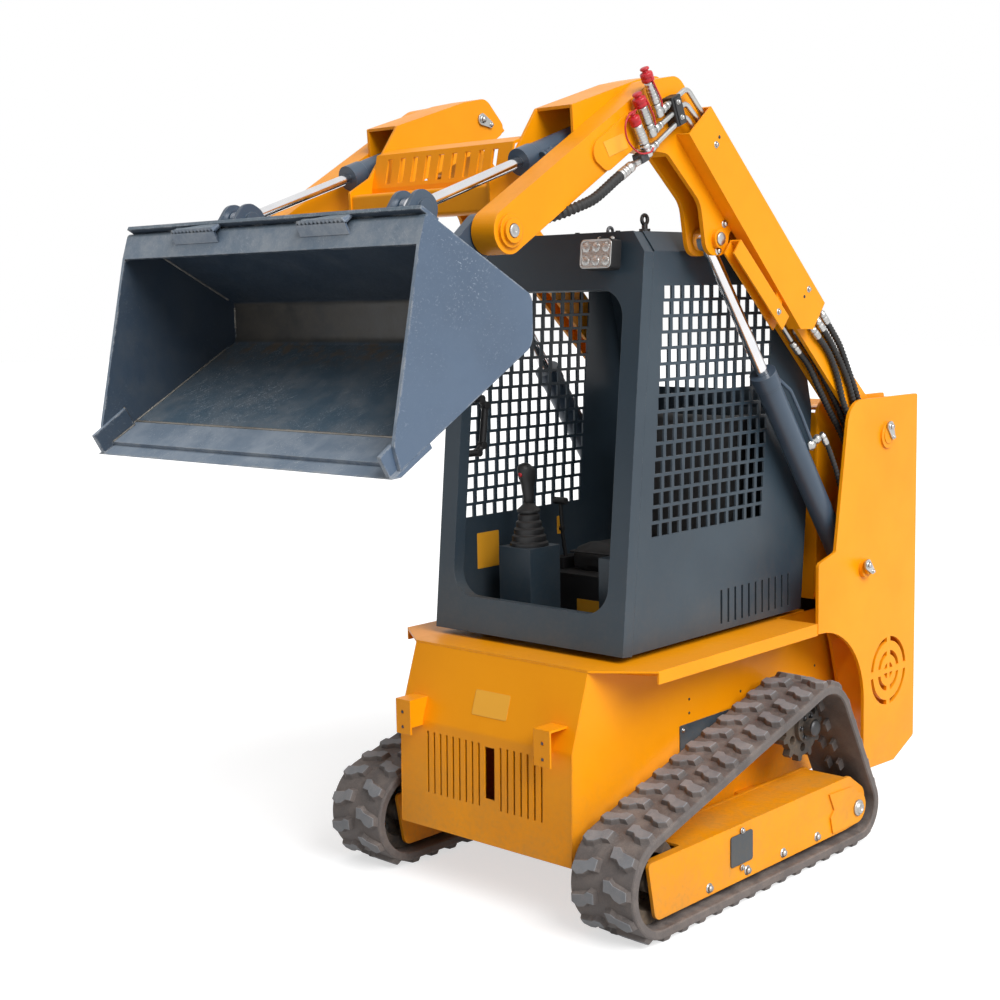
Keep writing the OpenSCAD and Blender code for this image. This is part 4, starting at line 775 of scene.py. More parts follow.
def roundedBox(y0, z0, y1, z1, r, steps=5):
    out = []
    for cy, cz, a0 in ((y1 - r, z1 - r, 0), (y0 + r, z1 - r, 90), (y0 + r, z0 + r, 180), (y1 - r, z0 + r, 270)):
        for k in range(steps + 1):
            a = math.radians(a0 + 90 * k / steps)
            out.append((cy + r * math.cos(a), cz + r * math.sin(a)))
    return out


# turned piece: profile of (radius, height) about an axis
def turned(name, foot, axis, profile, body, material, slotName, steps=32):
    z = Vector(axis).normalized()
    x = z.orthogonal().normalized()
    y = z.cross(x)
    foot = at(*foot)
    bm = bmesh.new()
    rings = []
    for r, h in profile:
        rings.append([bm.verts.new(foot + z * h / 1000 + (x * math.cos(2 * math.pi * k / steps) + y * math.sin(2 * math.pi * k / steps)) * r / 1000) for k in range(steps)])
    skinRings(bm, rings)
    bm.faces.new(rings[0][::-1])
    bm.faces.new(rings[-1])
    mesh = meshFrom(bm, name)
    mesh.materials.append(material)
    for f in mesh.polygons:
        f.use_smooth = len(f.vertices) == 4
    piece = linked(name, mesh)
    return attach(piece, body)


# rubber belts: carcass swept round three wheels, two staggered rows of lugs, guide lugs inside
tread = dict(wheels=((-458, 150, 131), (502, 110, 91), (315, 384, 123)), middle=450, half=100, thick=20, pad=5,
pitch=76, lugTop=18.5,
             lug=((15, 20), (34, 22), (46, 12), (66, 8), (87, 4), (89, -17), (70, -27), (52, -22), (38, -10),
                     (17, -9)),
             guide=((14, -15), (24, -15), (24, 15), (14, 15)), guideDeep=22)


# point and outward direction (as an angle) at each step round the loop
def beltPath():
    wheels = tread["wheels"]
    angles = []
    for i, a in enumerate(wheels):
        b = wheels[(i + 1) % 3]
        d = Vector((b[0] - a[0], b[1] - a[1]))
        angles.append(math.atan2(d.y, d.x) - math.pi / 2 + math.asin((a[2] - b[2]) / d.length))
    path = []
    for i, (y, z, r) in enumerate(wheels):
        a0, a1 = angles[i - 1], angles[i]
        while a1 < a0:
            a1 += 2 * math.pi
        steps = math.ceil((a1 - a0) / math.radians(3.5))
        for k in range(steps + 1):
            a = a0 + (a1 - a0) * k / steps
            path.append((y + r * math.cos(a), z + r * math.sin(a), a))
    return path


def beltSpots(offset):
    path = beltPath()
    path.append(path[0])
    lengths = [math.hypot(b[0] - a[0], b[1] - a[1]) for a, b in zip(path, path[1:])]
    total = sum(lengths)
    count = round(total / tread["pitch"])
    spots = []
    for k in range(count):
        left = ((k + offset) % count) * total / count
        for (a, b, n) in zip(path, path[1:], lengths):
            if left <= n and n > 0:
                t = left / n
                turn = (b[2] - a[2] + math.pi) % (2 * math.pi) - math.pi
                spots.append((a[0] + (b[0] - a[0]) * t, a[1] + (b[1] - a[1]) * t, a[2] + turn * t))
                break
            left -= n
    return spots


# rings of one outline, each with its own spread and height, closed at both ends
def lugShape(name, outlineMm, rings, mirrored=False):
    cx = sum(u for u, _ in outlineMm) / len(outlineMm)
    cy = sum(v for _, v in outlineMm) / len(outlineMm)
    bm = bmesh.new()
    loops = []
    for spread, high in rings:
        loops.append([])
        for u, v in outlineMm:
            du, dv = u - cx, v - cy
            n = math.hypot(du, dv)
            u2, v2 = u + du / n * spread, v + dv / n * spread
            loops[-1].append(bm.verts.new((u2 / 1000, (-v2 if mirrored else v2) / 1000, high / 1000)))
    skinRings(bm, loops)
    bm.faces.new(loops[0])
    bm.faces.new(loops[-1])
    mesh = meshFrom(bm, name)
    return linked(name, mesh)


def lugRow(name, side, row, offset, outlineMm, rings, material, mirrored=False):
    template = lugShape(name + "Form", outlineMm, rings, mirrored)
    base = bpy.data.meshes.new(name + "Spots")
    spots = beltSpots(offset)
    base.from_pydata([tuple(at(side * tread["middle"], y, z)) for y, z, _ in spots], [], [])
    facing = base.attributes.new("facing", "FLOAT_VECTOR", "POINT")
    across = base.attributes.new("across", "FLOAT_VECTOR", "POINT")
    for i, (_, _, a) in enumerate(spots):
        facing.data[i].vector = (0, math.cos(a), math.sin(a))
        across.data[i].vector = (row, 0, 0)
    piece = grow(name, base, "lug", Lug=template, Material=material)
    bpy.data.objects.remove(template)
    return piece


def joinMeshes(name, pieces):
    bm = bmesh.new()
    for piece in pieces:
        bm.from_mesh(piece.data)
    mesh = bpy.data.meshes.new(name)
    bm.to_mesh(mesh)
    bm.free()
    for material in pieces[0].data.materials:
        mesh.materials.append(material)
    for piece in pieces:
        bpy.data.objects.remove(piece)
    return linked(name, mesh)


def makeCarcass(name, side):
    h, up, low = tread["half"], tread["pad"], -tread["thick"]
    section = [(-h, low + 3), (-h, up - 6), (-h + 2, up - 2), (-h + 6, up), (-40, up + 0.4), (0, up - 0.8), (40,
    up + 0.4), (h - 6, up),
               (h - 2, up - 2), (h, up - 6), (h, low + 3), (h - 4, low), (-h + 4, low)]
    path = beltPath()
    bm = bmesh.new()
    rings = []
    for y, z, a in path:
        ny, nz = math.cos(a), math.sin(a)
        rings.append([bm.verts.new(at(side * tread["middle"] + u, y + ny * v, z + nz * v)) for u, v in section])
    skinRings(bm, rings + rings[:1])
    bmesh.ops.remove_doubles(bm, verts=bm.verts, dist=0.00002)
    mesh = meshFrom(bm, name)
    mesh.materials.append(carcassRubber)
    return linked(name, mesh)


def makeBelt(node, name, side):
    flank = [(9, 0), (6, tread["pad"]), (2.5, tread["lugTop"] - 4), (0.2, tread["lugTop"] - 1.6)]
    cap = [(0.4, tread["lugTop"] - 2.4), (0.4, tread["lugTop"] - 1.2), (-0.8, tread["lugTop"] - 0.2),
            (-1.6, tread["lugTop"])]
    guide = [(2.5, -tread["thick"] + 3), (1, -tread["thick"] - 8), (-1.2, -tread["thick"] - tread["guideDeep"])]
    pieces, caps = [makeCarcass(name + "Carcass", side)], []
    for row, offset, flip in ((1, 0.0, False), (-1, 0.5, True)):
        pieces.append(lugRow(name + "Lugs", side, row, offset, tread["lug"], flank, carcassRubber, flip))
        caps.append(lugRow(name + "Caps", side, row, offset, tread["lug"], cap, lugRubber, flip))
        pieces.append(lugRow(name + "Guides", side, row, 0.25, tread["guide"], guide, carcassRubber, flip))
    belt = joinMeshes(name, pieces)
    tops = joinMeshes(name + "LugTops", caps)
    for piece in (belt, tops):
        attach(piece, "base")
    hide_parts(node)


makeBelt("belt_left", "treadBeltLeft", 1)
makeBelt("belt_right", "treadBeltRight", -1)
print("belts dressed")

# track frames: roller bolts, cover plate, notched end plate, axle caps
trackTrim = dict(face=528, rollerY=(-243, -67, 109, 285), rollerZ=78, idler=(502, 110), hub=(315, 384), hubRing=33)
idlerY, idlerZ = trackTrim["idler"]
hubY, hubZ = trackTrim["hub"]
for s, sideName in ((1, "Left"), (-1, "Right")):
    out = (s, 0, 0)
    fx = s * trackTrim["face"]
    bolts("rollerBolts" + sideName, [((fx, y, trackTrim["rollerZ"]), out) for y in trackTrim["rollerY"]], "base", 9,
            8, 6, 1.5)
    bolts("plateBolts" + sideName, [((fx + s * 5, -96, z), out) for z in (196, 94)], "base", 6, 5, 6, 1.4)
    plate("sidePlate" + sideName, [(fx, y, z) for y, z in roundedBox(-147, 104, -45, 188, 8)], (s * 4, 0, 0), "base",
            slatePaint)
    notch = [(345, 186), (372, 134), (352, 116), (366, 66), (500, 64)] + [
        (idlerY + 46 * math.cos(math.radians(a)), idlerZ + 46 * math.sin(math.radians(a))) for a in range(-80, 100,
        12)] + [(470, 180)]
    plate("endPlate" + sideName, [(fx, y, z) for y, z in notch], (s * 5, 0, 0), "base", yellowPaint)
    turned("idlerAxle" + sideName, (fx + s * 5, idlerY, idlerZ), out,
            [(24, 0), (24, 5), (21, 7), (16, 7), (16, 12), (9, 13), (9, 10), (1, 10)], "base", zincSteel, "steel")
    plate("tubCover" + sideName, [(s * 312, y, z) for y, z in roundedBox(-76, 350, 212, 440, 4)], (s * 3, 0, 0),
            "base", slatePaint)
    bolts("coverScrews" + sideName, [((s * 315, y, z), out) for y in (-62, 196) for z in (364, 426)], "base", 5, 4, 6,
            1.3)
    # tub holes: flat dark steel discs, painted shade standing for the dark inside of the holes
    bolts("tubHoles" + sideName, [((s * 312, y, z), out) for y,
            z in ((-30, 507), (-30, 468), (220, 481), (619, 484))], "base", 4, 0.6, 16, 1.0, oiledSteel)
    bolts("hubBolts" + sideName, [((s * 475, hubY + trackTrim["hubRing"] * math.cos(a),
            hubZ + trackTrim["hubRing"] * math.sin(a)), out) for a in [k * math.pi / 3 for k in range(6)]], "base", 6,
            7, 6, 1.3, oiledSteel)
    turned("hubCap" + sideName, (s * 500, hubY, hubZ), out, [(25, 0), (25, 3), (20, 8), (12, 10), (1, 10)], "base",
            oiledSteel, "running_gear")
print("track trim placed")

# body: label plate, bracket screws, seams
slope = dict(y=-535, z=462, run=67, rise=199)
slopeDir = Vector((0, slope["run"], slope["rise"])).normalized()
slopeOut = Vector((0, -slopeDir.z, slopeDir.y))


def onSlope(x, z, lift=0.0):
    y = slope["y"] + (z - slope["z"]) * slope["run"] / slope["rise"]
    return (x, y + slopeOut.y * lift, z + slopeOut.z * lift)


plate("frontLabel", [onSlope(x, z, 0.3) for x, z in roundedBox(-52, 506, 74, 571, 6)], slopeOut * 0.8, "base",
        plateYellow, bevel=0.2)
bolts("restScrews", [((s * (225 + 30), -583, z), (0, -1, 0)) for s in (1, -1) for z in (450, 492)], "base", 4, 0.8,
        16, 1.0, oiledSteel)
welds("frontSeams", [[(s * 311, -540 + 6 * k / 12, 170 + 290 * k / 12) for k in range(13)] for s in (1, -1)], "base",
        2.2)
print("body trim placed")

# towers and arms: pin keepers, pin ends, cover bolts, prop bolt
keeper = dict(long=34, wide=17, thick=6)


def pinKeeper(name, centre, lean, out, body):
    cx, cy, cz = centre
    ca, sa = math.cos(math.radians(lean)), math.sin(math.radians(lean))
    rim = []
    for end in (1, -1):
        for k in range(9):
            a = math.radians(-80 + 20 * k)
            r = keeper["wide"] if end > 0 else keeper["wide"] * 0.55
            u = end * (keeper["long"] * 0.5) + end * r * math.cos(a)
            v = end * r * math.sin(a)
            rim.append((cx, cy + u * ca - v * sa, cz + u * sa + v * ca))
    plate(name, rim, (out * keeper["thick"], 0, 0), body, zincSteel)
    face = cx + out * keeper["thick"]
    bolts(name + "Bolt", [((face, cy + 17 * ca, cz + 17 * sa), (out, 0, 0))], body, 8, 7, 6, 1.3)
    bolts(name + "Stud", [((face, cy - 19 * ca, cz - 19 * sa), (out, 0, 0))], body, 5, 4, 6, 1.3)


for s, sideName in ((1, "Left"), (-1, "Right")):
    pinKeeper("pivotKeeper" + sideName, (s * 468, 790, 1196), 117, s, "base")
    pinKeeper("footKeeper" + sideName, (s * 482, 645, 800), 140, s, "base")
    pinKeeper("tiltKeeper" + sideName, (s * 240, -217, 2104), 160, -s, "arm")
    turned("bucketPin" + sideName, (s * 442.5, -865, 1765), (s, 0, 0),
            [(15.5, 0), (15.5, 3), (14, 5), (6, 5), (4, 3), (1, 3)], "bucket", zincSteel, "steel")
    turned("liftPin" + sideName, (s * 442, -63, 1759), (s, 0, 0), [(17, 0), (17, 4), (15, 6), (1, 6)], "arm",
            zincSteel, "steel")
    bolts("liftPinBolts" + sideName, [((s * 430, -29, 1798), (s, 0, 0)), ((s * 430, -58, 1728), (s, 0, 0))], "arm", 7,
            7, 6, 1.5)
bolts("coverBolts", [((470, -121, 1993), (1, 0, 0)), ((470, 321, 1625), (1, 0, 0))], "arm", 6, 5, 6, 1.5)
# cover holes: flat dark steel discs, painted shade standing for the dark inside of the holes
bolts("coverHoles", [((470, -107, 2013), (1, 0, 0)), ((470, 299, 1605), (1, 0, 0))], "arm", 4.5, 0.6, 16, 1.0,
        oiledSteel)
plate("armLabel", [(436, y, z) for y, z in ((-537, 1978), (-460, 2004), (-440, 1970), (-514, 1944))], (0.8, 0, 0),
        "arm", plateYellow, bevel=0.2)
bolts("propBolt", [((476, 160, 1566), (1, 0, 0))], "arm", 6, 5, 6, 1.5)
print("pins and keepers placed")

# hydraulic lines on the arm: couplers with caps, bent tubes, clamp
aux = dict(x=454, tube=7, bend=26, caps=(16, 17, 14), feet=((-341, 2059), (-370, 2010), (-387, 1961)),
           tops=((-381, 2130), (-409, 2069), (-429, 2023)), bends=((-225, 2127), (-231, 2091), (-233, 2060)),
           ends=((-124, 2038), (-137, 2020), (-162, 1996)))


def makeCouplers():
    x = aux["x"]
    runs = [[(x, *foot), (x, *bend), (x, *end)] for foot, bend, end in zip(aux["feet"], aux["bends"], aux["ends"])]
    lines = pipes("auxTubes", runs, aux["tube"], aux["bend"], "arm")
    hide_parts("aux_lines")
    for k, (foot, top, bend) in enumerate(zip(aux["feet"], aux["tops"], aux["bends"])):
        axis = Vector((0, top[0] - foot[0], top[1] - foot[1]))
        n = axis.length
        run = Vector((0, bend[0] - foot[0], bend[1] - foot[1])).normalized()
        spot = Vector((x, *foot))
        nut("elbowNut%d" % k, tuple(spot + run * 14), tuple(run), 11.5, 15, "arm")
        nut("elbowCollar%d" % k, tuple(spot + run * 33), tuple(run), 9.5, 9, "arm", 20)
        turned("elbow%d" % k, tuple(spot - axis.normalized() * 12), tuple(axis),
                [(6, 0), (10, 1.5), (11.5, 5), (11.5, 18), (9.5, 21), (9.5, 24)], "arm", zincSteel, "steel", 24)
        nut("couplerNut%d" % k, tuple(spot + axis.normalized() * 11), tuple(axis), 13, 12, "arm")
        body = [(10.5, 22), (10.5, 25), (12.4, 26), (12.4, 32)]
        for j in range(4):
            h = 33 + j * (n - 45) / 4
            body += [(11.4, h), (13, h + 1.2), (13, h + (n - 45) / 4 - 1.6)]
        turned("coupler%d" % k, tuple(spot), tuple(axis), body + [(11.6, n - 11), (12.6, n - 9), (12.6, n), (5, n)],
                "arm", zincSteel, "steel", 28)
        r = aux["caps"][k]
        cap = turned("cap%d" % k, (x, *top), tuple(axis), [
            (r - 2, 0.2), (r - 0.6, 1.2), (r, 3), (r, 8), (r - 0.8, 9), (r - 0.8, 10.5), (r, 11.5), (r, 20), (r - 1.4,
                    22.5), (r - 5, 24.2),
            (r - 8, 25.4), (r - 8.4, 28), (r - 5, 30), (r - 4.2, 32.5), (r - 5.4, 35), (r - 9, 36), (0.5, 36)], "arm",
            redPlastic, "cap", 28)
        if k == 0:
            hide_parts("coupler_caps")
    straps = tubes("capStraps", [
        [(x + 8, -441, 2058), (x + 10, -474, 2040), (x + 12, -489, 2012), (x + 10, -474, 1980), (x + 8, -430, 1957),
                (x + 12, -392, 1960), (x + 13, -380, 1972)],
        [(x + 16, -412, 2084), (x + 17, -398, 2066), (x + 16, -382, 2046), (x + 13, -372, 2026)],
        [(x + 14, -392, 2142), (x + 16, -376, 2118), (x + 15, -352, 2090), (x + 13, -344, 2072)]], 2.2, redPlastic, 0,
        12, 4)
    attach(straps, "arm")
    plate("tubeClamp", [(432, y, z) for y, z in ((-302, 2096), (-266, 2110), (-236, 2042), (-272, 2028))], (32, 0, 0),
            "arm", blackPlastic, 2.5)
    plate("clampBar", [(464, y, z) for y, z in ((-293, 2094), (-272, 2102), (-245, 2041), (-266, 2033))], (2.5, 0, 0),
            "arm", oiledSteel)
    bolts("clampBolts", [((466.5, y, z), (1, 0, 0)) for y, z in ((-278, 2088), (-262, 2052))], "arm", 5, 5, 6, 1.3)


makeCouplers()

# hoses: one along the front bar, five from the arm into the tower, two at the lift cylinder
hoses = dict(size=8.5, rib=0.13, pitch=12, crimp=((8, 0), (8, 9), (11.5, 10), (11.5, 20), (8.6, 22), (8.6, 26),
        (11.8, 28), (11.8, 34), (10.8, 35), (11.8, 36), (11.8, 42), (10.8, 43), (11.8, 44), (11.8, 52), (10, 54)))


def crimpEnd(name, spot, toward, body, scale=1.0):
    d = (Vector(toward) - Vector(spot)).normalized()
    turned(name, tuple(Vector(spot) - d * 42 * scale), tuple(d), [(r * scale, h * scale) for r, h in hoses["crimp"]],
            body, zincSteel, "steel", 20)


barRun = [(449, -478, 1907), (449, -512, 1888), (449, -548, 1866), (447, -590, 1842), (440, -632, 1826),
        (420, -668, 1810), (392, -690, 1800), (360, -704, 1796), (330, -706, 1800)]
barHose = tubes("barHose", [barRun], 12, hoseRubber, 0.13, 12, 2.2)
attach(barHose, "arm")
crimpEnd("barHoseCrimp", barRun[0], barRun[1], "arm", 1.15)
pipes("barHosePipe", [[(449, -400, 1944), (449, -446, 1924)]], 8, 10, "arm")
nut("barHoseNut", (449, -398, 1951), (0, -0.91, -0.41), 14, 20, "arm", 6, oiledSteel)
plate("barHoseBlock", [(430.5, y, z) for y, z in ((-412, 1932), (-384, 1944), (-392, 1966), (-420, 1954))],
        (30, 0, 0), "arm", oiledSteel, 2)
pipes("armTubes", [
    [(402, 70, 1800), (402, 95, 1732), (400, 213, 1640), (400, 352, 1519)],
    [(402, 80, 1748), (401, 102, 1692), (400, 204, 1605), (400, 342, 1483)]], 7, 40, "arm")


# a hose that bends between two bodies, with its crimped end on the first
def crossHose(name, run, first="arm", size=1.0):
    skin = tubes(name, [run], hoses["size"] * size, hoseRubber, hoses["rib"], hoses["pitch"], 2.4)
    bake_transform(skin)
    crimpEnd(name + "Crimp", run[0], run[1], first, 0.92 * size)


crossHose("towerHoseA", [(440.3, 458, 1537), (440.3, 497, 1502), (440.3, 541, 1457), (440.3, 587, 1389),
        (440.3, 634, 1316), (440.3, 676, 1230), (440, 692, 1130), (436, 698, 1010)])
crossHose("towerHoseB", [(440.3, 437, 1517), (440.3, 481, 1479), (440.3, 536, 1420), (440.3, 582, 1360),
        (440.3, 611, 1306), (440.3, 652, 1220), (440, 668, 1120), (436, 672, 1010)])
crossHose("towerHoseC", [(440.3, 411, 1496), (440.3, 459, 1460), (440.3, 492, 1425), (440.3, 526, 1371),
        (440.3, 555, 1305), (440.3, 590, 1252), (440.3, 622, 1205), (440, 642, 1130), (438, 650, 1040)])
crossHose("towerHoseD", [(400, 387, 1491), (400, 451, 1437), (400, 506, 1380), (400, 562, 1319), (400, 642, 1216),
        (400, 680, 1130), (398, 690, 1030)])
crossHose("towerHoseE", [(400, 375, 1454), (400, 433, 1410), (400, 486, 1346), (400, 540, 1282), (400, 637, 1172),
        (400, 668, 1090), (396, 676, 1000)])

# pipes and ports on the cylinders
for s, sideName in ((1, "Left"), (-1, "Right")):
    pipes("liftPipe" + sideName, [[(s * 412, 258, 1378), (s * 431, 290, 1346), (s * 431, 345, 1276),
            (s * 431, 400, 1196)]], 5.5, 16, "lift_barrels", barrelPaint)
    turned("liftPort" + sideName, (s * 424, 404, 1184), (s, 0, 0),
            [(17, 0), (17, 8), (12, 10), (12, 15), (5, 16), (1, 16)], "lift_barrels", zincSteel, "steel", 6)
    turned("liftElbow" + sideName, (s * 433, 410, 1192), (0, 0.72, 0.28),
            [(9, 0), (9, 12), (13, 13), (13, 24), (9, 25), (9, 32)], "lift_barrels", zincSteel, "steel", 6)
    crossHose("liftHose" + sideName, [(s * 440, 462, 1190), (s * 440, 482, 1166), (s * 440, 505, 1130),
            (s * 440, 530, 1088), (s * 440, 556, 1030), (s * 440, 582, 955), (s * 439, 604, 880)], "lift_barrels",
            0.85)
    pipes("tiltTube" + sideName, [[(s * 341, -645, 1946), (s * 341, -520, 1989), (s * 338, -380, 2036)]], 11, 30,
            "tilt_barrels", barrelPaint)
    turned("tiltTubeEnd" + sideName, (s * 341, -637, 1949), (0, -0.948, -0.317),
            [(13, 0), (13, 9), (12, 11), (9, 11), (8, 10), (1, 10)], "tilt_barrels", barrelPaint, "slate", 24)
    turned("tiltPort" + sideName, (s * 322, -600, 1963), (s, 0, 0), [(13, 0), (13, 12), (9, 14), (1, 14)],
            "tilt_barrels", barrelPaint, "slate", 6)
print("hydraulic lines laid")

# cab: lamp, interior plates, joystick buttons
lamp = dict(x=223, up=1040, half=(49, 35), round=10, eyeGap=(33, 35))
front = dict(y=-359, z=685, lean=105, rise=1044)
leanAngle = math.atan(front["lean"] / front["rise"])


def onFront(x, along, lift):
    y = front["y"] + along * math.sin(leanAngle) - lift * math.cos(leanAngle)
    z = front["z"] + along * math.cos(leanAngle) + lift * math.sin(leanAngle)
    return (x, y, z)


frontOut = (0, -math.cos(leanAngle), math.sin(leanAngle))
for i, (dx, dz) in enumerate([(a * lamp["eyeGap"][0], b * lamp["eyeGap"][1]) for a in (-1, 0, 1) for b in (-0.5,
        0.5)]):
    turned("lampEye%d" % i, onFront(lamp["x"] + dx, lamp["up"] + dz, 52.6), frontOut,
            [(13.6, 0), (12.6, 1.6), (9, 3.4), (5, 4.4), (1, 4.8)], "base", lampLens, "trim", 24)
lampW, lampH = lamp["half"]
lampEdge = roundedBox(-lampW, -lampH, lampW, lampH, lamp["round"])
plate("lampFace", [onFront(lamp["x"] + u, lamp["up"] + v, 52.1) for u, v in lampEdge], Vector(frontOut) * 0.9, "base",
        lampLens, 0.3)
rim = [onFront(lamp["x"] + u, lamp["up"] + v, 52.5) for u, v in lampEdge]
lampRim = tubes("lampRim", [rim + rim[:1]], 2.6, zincSteel, 0, 12, 3, True)
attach(lampRim, "base")
bolts("lampBolts", [(onFront(lamp["x"] + u, 1083, 12), frontOut) for u in (-22, 20)], "base", 5, 5, 6, 1.4)
plate("wallPlateA", [(-333.8, y, z) for y, z in roundedBox(-188, 828, -94, 934, 4)], (0.8, 0, 0), "base", plateYellow,
        bevel=0.2)
plate("wallPlateB", [(-333.8, y, z) for y, z in roundedBox(172, 889, 194, 945, 3)], (0.8, 0, 0), "base", plateYellow,
        bevel=0.2)
for s, sideName in ((1, "Left"), (-1, "Right")):
    turned("stickButton" + sideName, (s * 185, -157, 905 + 208), (0, -1, 0.1), [(7, 0), (7, 4), (5, 6), (1, 6.5)],
            "base", redPlastic, "cap", 18)
plate("boxPlate", [(x, 39.4, z) for x, z in roundedBox(-146, 684, -50, 728, 3)], (0, -0.8, 0), "base", plateYellow,
        bevel=0.2)


# moulded joystick grip: ovals along a leaning axis
grip = dict(x=185, y=-125, z=905, rings=((118, 13, 14, 0), (138, 15, 16, 0), (160, 18, 18, -2), (178, 19, 19, -4),
        (196, 24, 22, -7), (214, 27, 24, -10), (228, 25, 21, -13), (237, 17, 14, -15), (241, 5, 4, -15)))


def makeGrip(name, s, steps=24):
    bm = bmesh.new()
    rings = []
    for h, ry, rx, dy in grip["rings"]:
        rings.append([bm.verts.new(at(s * grip["x"] + rx * math.cos(2 * math.pi * k / steps),
                grip["y"] + dy + ry * math.sin(2 * math.pi * k / steps), grip["z"] + h)) for k in range(steps)])
    skinRings(bm, rings)
    bm.faces.new(rings[0][::-1])
    bm.faces.new(rings[-1])
    mesh = meshFrom(bm, name)
    mesh.materials.append(blackPlastic)
    for face in mesh.polygons:
        face.use_smooth = True
    piece = linked(name, mesh)
    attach(piece, "base")


makeGrip("gripLeft", 1)
makeGrip("gripRight", -1)
bolts("roofBolts", [((x, -160, 1782), (0, 0, 1)) for x in (-120, 40, 180)] + [((x, 340, 1782),
        (0, 0, 1)) for x in (-120, 40, 180)], "base", 7, 6, 6, 1.5, oiledSteel)
print("cab trim placed")


# bucket: weld beads inside, two bent step plates on the lip
shell = dict(tip=(-1336.3, 1253.7), floorDir=(0.8634, 0.5045), floorUp=(-0.5045, 0.8634), backTop=(-896, 1620),
             upperDir=(-0.880, 0.475), upperOut=(0.475, 0.880), half=522, thick=9)


def onFloor(x, along, up):
    t, d, n = shell["tip"], shell["floorDir"], shell["floorUp"]
    return (x, t[0] + along * d[0] + up * n[0], t[1] + along * d[1] + up * n[1])


def underTop(x, along, down):
    t, d, n = shell["backTop"], shell["upperDir"], shell["upperOut"]
    return (x, t[0] + along * d[0] - down * n[0], t[1] + along * d[1] - down * n[1])


def makeBucketTrim():
    inner = shell["half"] - shell["thick"]
    runs = [[onFloor(x, 130, shell["thick"] + 0.5) for x in range(-510, 511, 20)]]
    for s in (1, -1):
        runs.append([onFloor(s * (inner - 1), a, shell["thick"] + 1) for a in range(120, 470, 10)])
        runs.append([underTop(s * (inner - 1), a, shell["thick"] + 1) for a in range(30, 350, 10)])
        runs.append([(s * (inner - 1), -906, z) for z in range(1552, 1612, 10)])
        runs.append([onFloor(s * (inner - 12), a, shell["thick"] + 1) for a in range(42, 117, 6)])
        runs.append([onFloor(s * (inner - 2), 118, u) for u in range(12, 58, 5)])
    welds("bucketWelds", runs, "bucket", 3.6, weldSteel)
    for k, (x0, x1) in enumerate(((-313, -148), (143, 302))):
        teeth = []
        for i in range(12):
            a = x0 + (x1 - x0) * i / 12
            b = x0 + (x1 - x0) * (i + 0.5) / 12
            teeth += [(a, -1246, 1782), (b, -1249, 1789)]
        teeth += [(x1, -1246, 1782), (x1, -1213, 1806), (x0, -1213, 1806)]
        plate("stepTop%d" % k, teeth, (0, 3.2, -4.6), "bucket", bucketSteel, 0.8)
        plate("stepFace%d" % k, [(x0, -1246, 1781), (x1, -1246, 1781), (x1, -1233, 1756), (x0, -1233, 1756)],
                (0, 5, 2.6), "bucket", bucketSteel, 0.8)


makeBucketTrim()
print("bucket trim placed")

# rear: door latch, hood handle, hinge screws
rear = dict(doorFace=964, latch=(252, 445), hoodTop=1276)
latchX, latchZ = rear["latch"]
plate("latchPlate", [(x, rear["doorFace"], z) for x, z in roundedBox(latchX - 26, latchZ - 42, latchX + 26,
        latchZ + 42, 8)], (0, 1.2, 0), "rear_door", blackPlastic, 0.4)
plate("latchPaddle", [(x, rear["doorFace"] + 1.1, z) for x,
        z in roundedBox(latchX - 16, latchZ - 30, latchX + 16, latchZ + 8, 6)], (0, 0.8, 0), "rear_door",
        blackPlastic, 0.3)
turned("latchLock", (latchX, rear["doorFace"] + 1.1, latchZ + 24), (0, 1, 0),
        [(9, 0), (9, 0.5), (8.4, 0.8), (3, 0.8), (2.4, 0.3), (0.6, 0.3)], "rear_door", zincSteel, "steel", 24)
pipes("hoodPull", [[(-60, 922, rear["hoodTop"]), (-60, 922, rear["hoodTop"] + 34), (60, 922, rear["hoodTop"] + 34),
        (60, 922, rear["hoodTop"])]], 6, 16, "engine_hood", blackPlastic)
bolts("hoodScrews", [((x, 660, rear["hoodTop"]), (0, 0, 1)) for x in (-300, -30, 30, 300)], "engine_hood", 6, 5, 6,
        1.4)
print("rear trim placed")

# engine bay, seen with the door or hood open: cooler, fan guard, rocker cover, air filter
bay = dict(rear=890, top=940, half=222, low=330, high=872, finGap=14, finSize=4.2, guard=(605, 932),
        rings=(40, 75, 110, 145, 180), filter=(-225, 740, 996))


